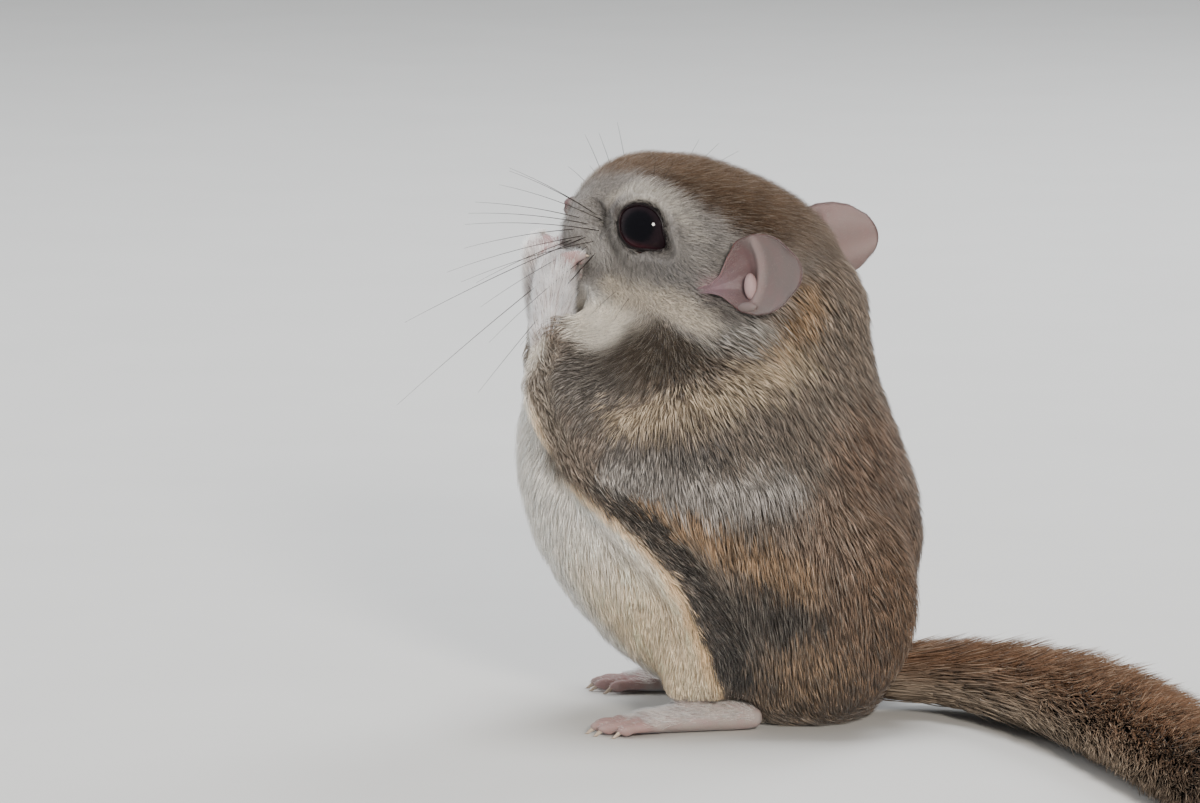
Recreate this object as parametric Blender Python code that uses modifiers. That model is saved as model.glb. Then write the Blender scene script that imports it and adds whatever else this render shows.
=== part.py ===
"""A flying squirrel sitting up with both hands at its mouth, at life size, as one still model.

Lengths below are in millimetres and become metres when a mesh is made. The animal faces -X and
sits on the floor at z = 0, with its left side towards -Y. The flesh is modelled whole and parted
into named nodes by thin cuts. Eyes, ears, nose, hands, feet and tail are modelled apart.
"""

import math
import random

import bmesh
import bpy
import numpy as np
from mathutils import Matrix, Vector

MM = 0.001
GAP = 0.3  # between nodes that touch
SLIVER = 0.012  # edges shorter than this are merged after a cut
FLOOR_BOX = 400.0

# How the head is held, and where its middle is
HEAD_CENTRE = Vector((-5.8, 4.0, 65.4))
HEAD_PITCH = math.radians(26)  # nose up
HEAD_YAW = math.radians(19)  # nose turned towards the animal's right
HEAD_ROLL = math.radians(3)  # left ear lower than the right

EYE_RADIUS = 4.7
EYE_OPENING = 3.9  # radius of the ring of the lids
LID_HALF = (0.75, 0.62)  # half thickness of the lids, away from the eye and outwards
EYE_PLACE = (6.2, 7.8, 4.9)  # forward, to the side and up from the head's middle
EYE_LOOK = (0.14, 1.0, 0.16)

EAR_LENGTH = 15.4
EAR_WIDTH = 11.8
EAR_THICKNESS = 0.8
EAR_CUP = 2.2
EAR_ROOT = (-7.4, 13.0, 4.8)
EAR_ALONG = (-0.78, 0.30, 0.55)
EAR_ACROSS = (0.52, -0.16, 0.82)

TAIL_CORE = (5.2, 4.6)  # half width and half height
TAIL_REACH = (11.0, 9.6)  # from the middle out to the tips of the hair, to the side and up
TAIL_LOCKS_APART = 7.4
TAIL_LAY = 12.5  # how far back a lock's tip lies from its root

FLESH_VOXEL = 1.25
FLESH_SMOOTHING = 7
FLESH_TRIANGLES = 2050
SHORTEST_EDGE = 0.38  # of the parted flesh

WHISKERS = 5
WHISKER_THICKNESS = 0.5

COATS = {
    "brown_coat": ((0.23, 0.15, 0.085), 0.85),
    "grey_coat": ((0.33, 0.30, 0.26), 0.85),
    "white_coat": ((0.72, 0.66, 0.57), 0.85),
    "bare_skin": ((0.62, 0.42, 0.38), 0.55),
    "eye": ((0.012, 0.010, 0.014), 0.05),
    "tail_coat": ((0.17, 0.10, 0.055), 0.85),
}


# Frames and curves

def head_axes():
    """The head's forward, left and up directions."""
    flat = Vector((-math.cos(HEAD_YAW), math.sin(HEAD_YAW), 0))
    forward = flat * math.cos(HEAD_PITCH) + Vector((0, 0, math.sin(HEAD_PITCH)))
    level = Vector((0, 0, 1)).cross(flat)
    raised = forward.cross(level)
    left = level * math.cos(HEAD_ROLL) - raised * math.sin(HEAD_ROLL)
    return forward, left, forward.cross(left)


def in_head(place):
    """A point given forward, left and up from the head's middle, in the part's own frame."""
    forward, left, up = head_axes()
    return HEAD_CENTRE + forward * place[0] + left * place[1] + up * place[2]


def towards_in_head(direction):
    """A direction given forward, left and up in the head, in the part's own frame."""
    return (in_head(direction) - HEAD_CENTRE).normalized()


def mirrored(place, side):
    """The same place on the left side (side 1) or on the right (side -1), by its second value."""
    return (place[0], place[1] * side, place[2])


def smooth_route(points, steps):
    """Points along a smooth curve through the given ones, steps to each stretch."""
    known = [Vector(p) for p in points]
    padded = [2 * known[0] - known[1], *known, 2 * known[-1] - known[-2]]
    route = []
    for i in range(len(known) - 1):
        a, b, c, d = padded[i : i + 4]
        for k in range(steps):
            t = k / steps
            route.append(
                0.5 * (2 * b + (c - a) * t + (2 * a - 5 * b + 4 * c - d) * t * t
                       + (3 * b - a - 3 * c + d) * t ** 3)
            )
    return route + [known[-1]]


def blend(values, share):
    """A value read from a short list of even stations, at a share of its length."""
    at = min(max(share, 0.0), 1.0) * (len(values) - 1)
    low = min(int(at), len(values) - 2)
    return values[low] + (values[low + 1] - values[low]) * (at - low)


# Meshes

def make_object(name, bm, keep=True):
    """An object from a bmesh, its faces turned outwards."""
    bmesh.ops.recalc_face_normals(bm, faces=bm.faces)
    mesh = bpy.data.meshes.new(name)
    bm.to_mesh(mesh)
    bm.free()
    obj = bpy.data.objects.new(name, mesh)
    bpy.data.collections["flying_squirrel" if keep else "cutters"].objects.link(obj)
    obj.hide_render = not keep
    if not keep:
        obj.display_type = "WIRE"
    return obj


def ring_loft(name, rings, keep=False):
    """A closed solid through rings of points, each end closed by a fan round its middle."""
    bm = bmesh.new()
    loops = [[bm.verts.new(p) for p in ring] for ring in rings]
    count = len(loops[0])
    for low, high in zip(loops, loops[1:]):
        for i in range(count):
            j = (i + 1) % count
            bm.faces.new((low[i], low[j], high[j], high[i]))
    for loop in (loops[0], loops[-1]):
        middle = bm.verts.new(sum((v.co for v in loop), Vector()) / count)
        for i in range(count):
            bm.faces.new((loop[i], loop[(i + 1) % count], middle))
    return make_object(name, bm, keep)


def oval(centre, side, up, half_side, half_up, sides, squareness=1.0):
    """Points round an oval. A squareness under 1 fills its corners."""
    points = []
    for i in range(sides):
        angle = 2 * math.pi * i / sides
        c, s = math.cos(angle), math.sin(angle)
        points.append(
            centre
            + side * half_side * math.copysign(abs(c) ** squareness, c)
            + up * half_up * math.copysign(abs(s) ** squareness, s)
        )
    return points


def limb(name, points, widths, heights=None, up=(0, 0, 1), sides=12, turns=(45, 75)):
    """A tapered solid along points, with half widths and half heights at each, round at both ends."""
    heights = heights or widths
    count = len(points)
    rings = []
    for i, point in enumerate(points):
        along = (Vector(points[min(i + 1, count - 1)]) - Vector(points[max(i - 1, 0)])).normalized()
        side = along.cross(Vector(up)).normalized()
        top = side.cross(along).normalized()
        rings.append((Vector(point), along, side, top, widths[i], heights[i]))
    made = [end_ring(rings[0], -1, math.radians(turn), sides) for turn in reversed(turns)]
    for point, along, side, top, wide, high in rings:
        made.append(oval(point, side, top, wide, high, sides))
    made += [end_ring(rings[-1], 1, math.radians(turn), sides) for turn in turns]
    return ring_loft(name, made)


def end_ring(ring, sign, turn, sides):
    """One ring of a rounded end, turned that far round the end's curve."""
    point, along, side, top, wide, high = ring
    out = min(wide, high) * math.sin(turn) * sign
    return oval(point + along * out, side, top, wide * math.cos(turn), high * math.cos(turn), sides)


def ball(name, centre, radii, axes=None, segments=20, rings=12, keep=False):
    """An ellipsoid with its radii along three given directions."""
    bm = bmesh.new()
    bmesh.ops.create_uvsphere(bm, u_segments=segments, v_segments=rings, radius=1)
    x, y, z = axes or (Vector((1, 0, 0)), Vector((0, 1, 0)), Vector((0, 0, 1)))
    for vert in bm.verts:
        co = vert.co.copy()
        vert.co = Vector(centre) + x * co.x * radii[0] + y * co.y * radii[1] + z * co.z * radii[2]
    return make_object(name, bm, keep)


def head_ball(name, place, radii, segments=20, rings=12):
    """An ellipsoid in the head, its radii along forward, left and up."""
    return ball(name, in_head(place), radii, head_axes(), segments, rings)


# Joining and cutting

def applied(obj, modifier):
    """Applies one modifier by reading the evaluated mesh, and removes it."""
    graph = bpy.context.evaluated_depsgraph_get()
    mesh = bpy.data.meshes.new_from_object(obj.evaluated_get(graph))
    obj.modifiers.remove(modifier)
    old = obj.data
    obj.data = mesh
    bpy.data.meshes.remove(old)
    return obj


def boolean(obj, other, operation, crossing=False):
    """Joins, cuts or crosses a closed mesh with another, or with all those of a collection.

    MANIFOLD takes over where EXACT leaves an open mesh, or nothing.
    """
    before = obj.data.copy()
    for solver in ("EXACT", "MANIFOLD"):
        modifier = obj.modifiers.new("cut", "BOOLEAN")
        if isinstance(other, bpy.types.Collection):
            modifier.operand_type = "COLLECTION"
            modifier.collection = other
        else:
            modifier.object = other
        modifier.operation = operation
        modifier.solver = solver
        modifier.use_self = crossing
        applied(obj, modifier)
        if (obj.data.polygons and tidied(obj)) or solver == "MANIFOLD":
            break
        obj.data = before.copy()
    bpy.data.meshes.remove(before)
    return obj


def tidied(obj, shortest=SLIVER):
    """Merges short edges, or shorter ones where that opens the mesh. False if it stays open."""
    for length in (shortest, shortest * 0.7, shortest * 0.5, shortest / 3, shortest / 10, SLIVER / 10):
        bm = bmesh.new()
        bm.from_mesh(obj.data)
        bmesh.ops.triangulate(bm, faces=bm.faces)
        bmesh.ops.dissolve_degenerate(bm, dist=length, edges=bm.edges)
        bmesh.ops.remove_doubles(bm, verts=bm.verts, dist=min(length, SLIVER) / 2)
        bmesh.ops.triangulate(bm, faces=bm.faces)
        closed = all(len(edge.link_faces) == 2 for edge in bm.edges)
        if closed:
            bm.to_mesh(obj.data)
        bm.free()
        if closed:
            return True
    return False


def fused(name, pieces):
    """One closed body from a node's pieces, which are removed."""
    first, rest = pieces[0], pieces[1:]
    group = bpy.data.collections.new("pieces_of_" + name)
    for piece in rest:
        group.objects.link(piece)
    boolean(first, group, "UNION")
    for piece in rest:
        remove(piece)
    bpy.data.collections.remove(group)
    return kept(largest_only(first), name)


def remove(obj):
    """Deletes an object and its mesh."""
    mesh = obj.data
    bpy.data.objects.remove(obj)
    bpy.data.meshes.remove(mesh)


def kept(obj, name):
    """Makes an object a shown node under its own name."""
    obj.name = name
    obj.data.name = name
    obj.hide_render = False
    obj.display_type = "TEXTURED"
    for group in list(obj.users_collection):
        group.objects.unlink(obj)
    bpy.data.collections["flying_squirrel"].objects.link(obj)
    return obj


def copy_of(obj, name):
    """A helper copy of an object with its own mesh."""
    twin = bpy.data.objects.new(name, obj.data.copy())
    bpy.data.collections["cutters"].objects.link(twin)
    twin.hide_render = True
    twin.display_type = "WIRE"
    return twin


def grown(obj, by):
    """A helper copy whose every face stands out by a distance, corners included."""
    twin = copy_of(obj, obj.name + "_grown")
    bm = bmesh.new()
    bm.from_mesh(twin.data)
    bm.normal_update()
    moves = []
    for vert in bm.verts:
        normals = np.array([face.normal for face in vert.link_faces if face.calc_area() > 1e-9])
        move = Vector(np.linalg.lstsq(normals, np.full(len(normals), by), rcond=0.1)[0])
        moves.append(move * min(1.0, 2 * by / max(move.length, by)))
    for vert, move in zip(bm.verts, moves):
        vert.co += move
    bm.to_mesh(twin.data)
    bm.free()
    return twin


def largest_only(obj):
    """Keeps only the closed surface with the largest box."""
    bm = bmesh.new()
    bm.from_mesh(obj.data)
    bmesh.ops.triangulate(bm, faces=bm.faces)
    unseen = set(bm.faces)
    islands = []
    while unseen:
        edge_faces = [unseen.pop()]
        island = set(edge_faces)
        while edge_faces:
            face = edge_faces.pop()
            for other in (near for edge in face.edges for near in edge.link_faces):
                if other in unseen:
                    unseen.discard(other)
                    island.add(other)
                    edge_faces.append(other)
        islands.append(island)
    sizes = []
    for island in islands:
        places = [vert.co for face in island for vert in face.verts]
        sizes.append(math.prod(max(p[k] for p in places) - min(p[k] for p in places) for k in range(3)))
    best = islands[sizes.index(max(sizes))]
    bmesh.ops.delete(bm, geom=[face for face in bm.faces if face not in best], context="FACES")
    bm.to_mesh(obj.data)
    bm.free()
    return obj


def parted(body, region, name):
    """Cuts off what of the body lies in a region as a node, and leaves the gap in the body."""
    node = copy_of(body, name)
    boolean(node, region, "INTERSECT")
    cutter = grown(region, GAP)
    boolean(body, cutter, "DIFFERENCE")
    remove(cutter)
    remove(region)
    largest_only(body)
    return kept(largest_only(node), name)


def clear_of(obj, *neighbours):
    """Cuts a node back so that it keeps the gap to its neighbours."""
    for other in neighbours:
        if boxes_meet(obj, other):
            cutter = grown(other, GAP)
            boolean(obj, cutter, "DIFFERENCE", crossing=True)
            remove(cutter)
    return largest_only(obj)


def boxes_meet(obj, other):
    """True if the boxes round two objects come within the gap of each other."""
    for k in range(3):
        ours = [vert.co[k] for vert in obj.data.vertices]
        theirs = [vert.co[k] for vert in other.data.vertices]
        if min(ours) > max(theirs) + GAP or min(theirs) > max(ours) + GAP:
            return False
    return True


def half_space(name, point, normal, size=120.0):
    """A large box on the side of a plane that its normal points to."""
    normal = Vector(normal).normalized()
    bm = bmesh.new()
    bmesh.ops.create_cube(bm, size=size)
    turn = Vector((0, 0, 1)).rotation_difference(normal).to_matrix().to_4x4()
    move = Matrix.Translation(Vector(point) + normal * size / 2)
    bmesh.ops.transform(bm, matrix=move @ turn, verts=bm.verts)
    return make_object(name, bm, keep=False)


def cut_off(obj, point, normal, size=120.0):
    """Cuts away what lies on the side of a plane that its normal points to."""
    beyond = half_space("beyond", point, normal, size)
    boolean(obj, beyond, "DIFFERENCE")
    remove(beyond)
    return largest_only(obj)


def cut_at_floor(obj):
    """Cuts away what is under the floor, which leaves a small flat to rest on."""
    return cut_off(obj, (0, 0, 0), (0, 0, -1), FLOOR_BOX)


# The flesh, made whole

def torso_form():
    """The trunk from the rump up to the nape, as ovals laid level."""
    # height, front, back, half width
    levels = (
        (-1.5, 2, 20, 12), (4, -8, 24.0, 18.5), (10, -17.5, 26.0, 21.5), (18, -24.5, 27.2, 23.2),
        (26, -29.2, 28.8, 23.8), (34, -31.4, 27.8, 23.4), (42, -31.6, 24.8, 22.4),
        (49, -30.0, 22.0, 20.4), (55, -25, 20.9, 17.8), (61, -17, 20.6, 15), (67, -9, 18.2, 11),
    )
    rings = []
    lengthwise, crosswise = Vector((1, 0, 0)), Vector((0, 1, 0))
    for height, front, back, half in levels:
        centre = Vector(((front + back) / 2, 0, height))
        rings.append(oval(centre, lengthwise, crosswise, (back - front) / 2, half, 28, 0.94))
    return ring_loft("torso_form", rings)


def skull_form():
    """The skull, cheeks and muzzle as ovals across the head's length."""
    forward, left, up = head_axes()
    # forward, lowest, highest, half width
    slices = (
        (-20, -3, 11, 6.5), (-16.5, -7, 15.2, 11), (-10, -9.5, 17.0, 13.2), (-4, -10.6, 17.2, 13.6),
        (2, -11, 16.5, 13.0), (7, -10.8, 15.7, 11.4), (11, -9.5, 14.1, 9.4), (15, -7.0, 12.0, 7.5),
        (17.8, -5.4, 9.4, 6.3), (19.6, -4.2, 6.4, 4.7), (20.5, -2.8, 3.6, 2.6),
    )
    rings = []
    for place, low, high, half in slices:
        centre = in_head((place, 0, (low + high) / 2))
        rings.append(oval(centre, left, up, half, (high - low) / 2, 24, 0.96))
    return ring_loft("skull_form", rings)


def head_forms():
    """Skull, cheeks, whisker pads, jaw and brow."""
    forms = [skull_form()]
    for side in (1, -1):
        forms.append(head_ball("cheek", mirrored((-1.5, 8.0, -4.0), side), (9.5, 6.2, 7.6)))
        forms.append(head_ball("pad", mirrored((15.2, 3.3, -1.8), side), (5.2, 4.1, 4.6)))
        forms.append(head_ball("brow", mirrored((6.5, 6.2, 9.3), side), (6.5, 4.6, 3.8)))
    forms.append(head_ball("jaw", (8.8, 0, -8.6), (7.6, 4.6, 3.6)))
    forms.append(head_ball("chin", (14.0, 0, -9.0), (3.4, 2.9, 2.6)))
    return forms


def neck_form():
    """The neck from the back of the skull into the shoulders."""
    points = [in_head((-6, 0, -2)), Vector((5.0, 0.8, 57.5)), Vector((5.5, 0, 46))]
    return limb("neck_form", points, [12.5, 14.5, 17], [13.0, 14.2, 14.8], up=(1, 0, 0), sides=24)


def throat_form():
    """The full throat, which fills the space between the chin and the raised arms."""
    return ball("throat_form", (-20.4, 1.0, 58.6), (6.2, 8.6, 6.2))


SHOULDER = (3.5, 15.5, 47.0)
ELBOW = (-17.5, 18.5, 40.5)
WRISTS = {1: (-26.2, -3.2, 58.6), -1: (-26.9, 11.4, 59.0)}
HANDS = {1: (-25.2, 3.2, 65.0), -1: (-27.6, 11.4, 66.6)}
ANKLE_TOP = 4.8  # the foot's top under the shin
HIP = (14.0, 13.0, 19.0)
KNEE = (-5.0, 17.5, 22.0)
ANKLE = (-5.6, 16.0, 4.6)
SIDES = {"left": 1, "right": -1}


def on_side(place, side):
    """A place given for the animal's left side, which faces -Y, on the side asked for."""
    return Vector((place[0], -place[1] * side, place[2]))


def arm_forms(side):
    """Upper arm, forearm and the sleeve of skin that hangs from them."""
    shoulder, elbow, wrist = on_side(SHOULDER, side), on_side(ELBOW, side), Vector(WRISTS[side])
    middle = (elbow + wrist) / 2 + Vector((-3.2, -1.5 * side, -1.0))
    return [
        limb("upper_arm_form", [shoulder, (shoulder + elbow) / 2, elbow], [7.6, 7.4, 5.8], [8.6, 8.2, 6.2]),
        limb("forearm_form", [elbow, middle, wrist], [5.6, 4.8, 3.3], [6.0, 5.2, 3.4]),
    ]


def leg_forms(side):
    """Thigh and shin on one side. The shin stands under the folded thigh."""
    hip, knee, ankle = on_side(HIP, side), on_side(KNEE, side), on_side(ANKLE, side)
    back_of_thigh = Vector((1.5, 0, 1.5))
    return [
        ball("thigh_form", hip, (13.8, 12.0, 17.5)),
        limb("knee_form", [hip + back_of_thigh, knee], [10.5, 6.0], [12.0, 6.5]),
        limb("shin_form", [knee + Vector((-0.5, 0, -2)), ankle], [5.9, 5.0], [5.4, 4.4], up=(1, 0, 0)),
    ]


def membrane_route(side, steps=2):
    """The free edge of the gliding membrane, from wrist to ankle."""
    edge = (
        (-29.3, 12.6, 50.5), (-27.0, 15.6, 45.0), (-21.8, 19.0, 38.6),
        (-14.4, 21.8, 30.4), (-6.4, 23.6, 21.6), (-2.0, 22.4, 13.5), (-3.0, 19.4, 6.0),
    )
    start = Vector(WRISTS[side]) + Vector((-1.2, -3.0 * side, -3.2))
    return smooth_route([start, *(on_side(p, side) for p in edge)], steps)


def membrane_form(side):
    """The rolled edge of the folded membrane."""
    route = membrane_route(side)
    count = len(route) - 1
    radii = [blend((1.6, 2.3, 2.6, 3.0, 3.2, 2.4), i / count) for i in range(count + 1)]
    return limb("membrane_form", route, radii, radii, up=(0.3, -side, 0.2), sides=10)


def membrane_bunch(side):
    """Where the folded membrane bunches up between flank and ankle."""
    return ball("bunch_form", on_side((4.5, 19.5, 17.5), side), (8.5, 5.2, 11.0))


def flesh_whole():
    """All the furred flesh as one smooth closed skin, cut flat at the floor."""
    forms = [torso_form(), neck_form(), throat_form(), *head_forms()]
    for side in SIDES.values():
        forms += [*arm_forms(side), *leg_forms(side), membrane_form(side), membrane_bunch(side)]
    bm = bmesh.new()
    for form in forms:
        bm.from_mesh(form.data)
        remove(form)
    flesh = make_object("flesh", bm, keep=False)
    remesh = flesh.modifiers.new("skin", "REMESH")
    remesh.mode = "VOXEL"
    remesh.voxel_size = FLESH_VOXEL
    applied(flesh, remesh)
    smooth = flesh.modifiers.new("soften", "SMOOTH")
    smooth.factor = 0.5
    smooth.iterations = FLESH_SMOOTHING
    applied(flesh, smooth)
    thin_out(flesh, FLESH_TRIANGLES)
    return cut_at_floor(flesh)


def thin_out(obj, triangles):
    """Lowers a mesh's count of triangles where it is flattest."""
    faces = sum(len(p.vertices) - 2 for p in obj.data.polygons)
    decimate = obj.modifiers.new("thin", "DECIMATE")
    decimate.ratio = min(1.0, triangles / faces)
    decimate.use_collapse_triangulate = True
    return applied(obj, decimate)


# The flesh, parted

def part_flesh(flesh):
    """Cuts the flesh into named nodes and returns them by name."""
    nodes = {}
    for word, side in SIDES.items():
        nodes["membrane_" + word] = parted(flesh, membrane_region(side), "membrane_" + word)
    for word, side in SIDES.items():
        nodes["shin_" + word] = parted(flesh, shin_region(side), "shin_" + word)
        nodes["thigh_" + word] = parted(flesh, thigh_region(side), "thigh_" + word)
        nodes["forearm_" + word] = parted(flesh, forearm_region(side), "forearm_" + word)
        cut_off(nodes["forearm_" + word], WRISTS[side], Vector(HANDS[side]) - Vector(WRISTS[side]))
        nodes["upper_arm_" + word] = parted(flesh, upper_arm_region(side), "upper_arm_" + word)
    face = half_space("face", in_head((-13.0, 0, 2.0)), towards_in_head((0.88, 0, 0.47)))
    above_throat = half_space("above_throat", in_head((0, 0, -12.6)), towards_in_head((-0.06, 0, 1)))
    boolean(face, above_throat, "INTERSECT")
    remove(above_throat)
    head = parted(flesh, face, "head")
    nodes["neck"] = parted(flesh, half_space("r", (9, 0, 54.5), (-0.22, 0, 0.98)), "neck")
    nodes["chest"] = parted(flesh, half_space("r", (0, 0, 37.5), (-0.12, 0, 0.99)), "chest")
    nodes["belly"] = parted(flesh, half_space("r", (0, 0, 19.0), (-0.45, 0, 0.89)), "belly")
    nodes["rump"] = kept(flesh, "rump")
    mouth = half_space("mouth", in_head((12.6, 0, -5.9)), towards_in_head((0.10, 0, -1)), 60)
    throat = half_space("throat", in_head((4.5, 0, -8)), towards_in_head((1, 0, -0.2)), 60)
    boolean(mouth, throat, "INTERSECT")
    remove(throat)
    nodes["jaw"] = parted(head, mouth, "jaw")
    muzzle = half_space("r", in_head((13.2, 0, 0)), towards_in_head((1, 0, 0.15)), 60)
    nodes["muzzle"] = parted(head, muzzle, "muzzle")
    nodes["head"] = head
    for word in SIDES:
        for limb_name in ("shin_", "membrane_"):
            cut_off(nodes[limb_name + word], (0, 0, ANKLE_TOP), (0, 0, -1))
    for node in nodes.values():
        tidied(node, SHORTEST_EDGE)
    return nodes


def membrane_region(side):
    """The space that the rolled edge of the membrane fills."""
    route = membrane_route(side, 1)
    radii = [4.5] * len(route)
    return limb("membrane_region", route, radii, radii, up=(0.3, -side, 0.2), sides=7, turns=(60,))


def shin_region(side):
    """The space of the shin, down to the ankle."""
    knee, ankle = on_side(KNEE, side), on_side(ANKLE, side)
    outward = Vector((0, -0.8 * side, 0))
    top, bottom = knee + outward + Vector((-2, 0, -1.5)), ankle + outward + Vector((0, 0, -3))
    return limb("shin_region", [top, bottom], [9.2, 8.8], [8.8, 8.6], up=(1, 0, 0), sides=9, turns=(50,))


def thigh_region(side):
    """The space of the folded thigh."""
    return ball("thigh_region", on_side((13.0, 20.0, 20.0), side), (17.2, 12.4, 18.6), None, 14, 8)


def forearm_region(side):
    """The space of the forearm, up to the wrist."""
    elbow, wrist = on_side(ELBOW, side), Vector(WRISTS[side])
    outward = Vector((-1.0, -2.5 * side, 0.5))
    middle = (elbow + wrist) / 2 + Vector((-3.2, -1.5 * side, -1.0))
    return limb("forearm_region", [elbow + outward, middle + outward / 2, wrist + Vector((0, 0, 4))],
                [7.6, 6.6, 4.8], [8.0, 7.0, 5.0], sides=8, turns=(50,))


def upper_arm_region(side):
    """The space of the upper arm, down to the elbow."""
    shoulder, elbow = on_side(SHOULDER, side), on_side(ELBOW, side)
    outward = Vector((0, -4.0 * side, 0))
    return limb("upper_arm_region", [shoulder + outward, elbow + outward], [9.6, 8.2], sides=9, turns=(50,))


# Head details

def eye(word, side):
    """One eyeball."""
    look = towards_in_head(mirrored(EYE_LOOK, side))
    first = look.orthogonal().normalized()
    axes = (first, look.cross(first), look)
    return ball("eye_" + word, in_head(mirrored(EYE_PLACE, side)), (EYE_RADIUS,) * 3, axes, 14, 9, keep=True)


def lids(side):
    """The ring of the lids, with a corner in front and behind."""
    look = towards_in_head(mirrored(EYE_LOOK, side))
    ahead = towards_in_head((1, 0, -0.12))
    ahead = (ahead - look * ahead.dot(look)).normalized()
    over = look.cross(ahead)
    depth = math.sqrt(EYE_RADIUS ** 2 - EYE_OPENING ** 2)
    middle = in_head(mirrored(EYE_PLACE, side)) + look * depth
    steps, sides = 18, 5
    bm = bmesh.new()
    loops = []
    for i in range(steps):
        angle = 2 * math.pi * i / steps
        c, s = math.cos(angle), math.sin(angle)
        corner = 0.55 * abs(c) ** 6
        out = ahead * c * (EYE_OPENING + 0.35 + corner) + over * s * (EYE_OPENING + 0.25)
        away = out.normalized()
        centre = middle + out - look * 0.30 * corner
        loops.append([
            bm.verts.new(centre + away * math.cos(t) * LID_HALF[0] + look * math.sin(t) * LID_HALF[1])
            for t in (2 * math.pi * k / sides for k in range(sides))
        ])
    for low, high in zip(loops, loops[1:] + loops[:1]):
        for k in range(sides):
            m = (k + 1) % sides
            bm.faces.new((low[k], low[m], high[m], high[k]))
    return make_object("lids", bm, keep=False)


def nose():
    """The bare nose pad with two nostrils."""
    pad = head_ball("nose", (19.7, 0, -0.4), (1.9, 2.1, 1.6), 12, 7)
    for side in (1, -1):
        hole = head_ball("nostril", mirrored((21.3, 1.0, -0.6), side), (0.9, 0.42, 0.46), 8, 6)
        boolean(pad, hole, "DIFFERENCE")
        remove(hole)
    return kept(largest_only(pad), "nose")


def ear(word, side):
    """One ear: a rounded cup on a narrow root, with the fold and the knob at its mouth."""
    root = in_head(mirrored(EAR_ROOT, side))
    along = towards_in_head(mirrored(EAR_ALONG, side))
    across = towards_in_head(mirrored(EAR_ACROSS, side))
    across = (across - along * across.dot(along)).normalized()
    open_way = across.cross(along).normalized()
    if open_way.dot(towards_in_head((0, side, 0))) < 0:
        open_way = -open_way
    bm = bmesh.new()
    stations, steps = 8, 9
    sheet = []
    for i in range(stations):
        share = i / (stations - 1)
        half = EAR_WIDTH / 2 * blend((0.62, 0.74, 0.90, 1.0, 0.98, 0.84, 0.50), share)
        place = root + along * EAR_LENGTH * share
        cup = EAR_CUP * blend((1.5, 1.35, 1.05, 0.85, 0.6, 0.35, 0.1), share)
        row = []
        for k in range(steps):
            t = -1 + 2 * k / (steps - 1)
            sink = cup * (1 - t * t) + 0.35 * EAR_CUP * share * (1 - share)
            curl = 0.5 * abs(t) ** 4
            round_tip = along * (-1.2 * t * t * share)
            row.append(place + across * half * t + open_way * (curl - sink) + round_tip)
        sheet.append(row)
    outer = [[bm.verts.new(p + open_way * EAR_THICKNESS / 2) for p in row] for row in sheet]
    inner = [[bm.verts.new(p - open_way * EAR_THICKNESS / 2) for p in row] for row in sheet]
    for i in range(stations - 1):
        for k in range(steps - 1):
            bm.faces.new((outer[i][k], outer[i][k + 1], outer[i + 1][k + 1]))
            bm.faces.new((outer[i][k], outer[i + 1][k + 1], outer[i + 1][k]))
            bm.faces.new((inner[i][k], inner[i + 1][k + 1], inner[i][k + 1]))
            bm.faces.new((inner[i][k], inner[i + 1][k], inner[i + 1][k + 1]))
    rim = (
        [(0, k) for k in range(steps)]
        + [(i, steps - 1) for i in range(1, stations)]
        + [(stations - 1, k) for k in range(steps - 2, -1, -1)]
        + [(i, 0) for i in range(stations - 2, 0, -1)]
    )
    for (i, k), (j, m) in zip(rim, rim[1:] + rim[:1]):
        bm.faces.new((outer[i][k], outer[j][m], inner[j][m], inner[i][k]))
    cup_mesh = make_object("ear_cup", bm, keep=False)
    knob = ball(
        "knob",
        root + along * 3.6 - across * 3.0 + open_way * 0.6,
        (2.6, 1.3, 1.5), (along, across, open_way), 10, 6,
    )
    return fused("ear_" + word, [cup_mesh, knob])


def whisker_pad_region(side):
    """The space of the swollen pad that the whiskers grow from."""
    return head_ball("pad_region", mirrored((15.4, 6.6, 0.2), side), (4.0, 3.4, 3.6), 12, 8)


def whiskers(side):
    """Long tapered whiskers in a fan on one whisker pad."""
    made = []
    for i in range(WHISKERS):
        share = i / (WHISKERS - 1)
        start = in_head(mirrored((15.8 - 1.4 * (i % 2), 4.6, 2.2 - 3.4 * share), side))
        heading = towards_in_head(mirrored((0.66 - 0.26 * share, 0.74, 0.20 - 0.66 * share), side))
        length = 24 + 5 * math.sin(math.pi * share)
        sag = Vector((0, 0, -1)) * length * 0.10
        points = [start + heading * length * t + sag * t * t for t in (0, 0.3, 0.6, 0.85, 1.0)]
        half = WHISKER_THICKNESS / 2
        rings = []
        for point, radius in zip(points, (half, half * 0.95, half * 0.8, half * 0.55, half * 0.3)):
            first = heading.orthogonal().normalized()
            rings.append(oval(point, first, heading.cross(first), radius, radius, 3))
        made.append(ring_loft("whisker", rings))
    return made


# Hands and feet

def toe(name, start, heading, up, length, radius, curl, claw):
    """One toe that curls towards its tip, with its claw."""
    points, widths = [], []
    for i in range(4):
        t = i / 3
        points.append(start + heading * length * t - up * curl * t * t)
        widths.append(radius * (1.0, 0.92, 0.95, 0.70)[i])
    body = limb(name, points, widths, [w * 0.95 for w in widths], up=up, sides=5, turns=(55,))
    tip = points[-1]
    down = (heading - up * (0.35 + 1.2 * curl / length)).normalized()
    rings = []
    for t, thick in ((0.0, 0.55), (0.35, 0.45), (0.7, 0.30), (1.0, 0.12)):
        centre = tip + down * claw * t - up * 0.45 * claw * t * t
        side = heading.cross(up).normalized()
        rings.append(oval(centre, side, up, thick * 0.85, thick, 3))
    return [body, ring_loft(name + "_claw", rings)]


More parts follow.
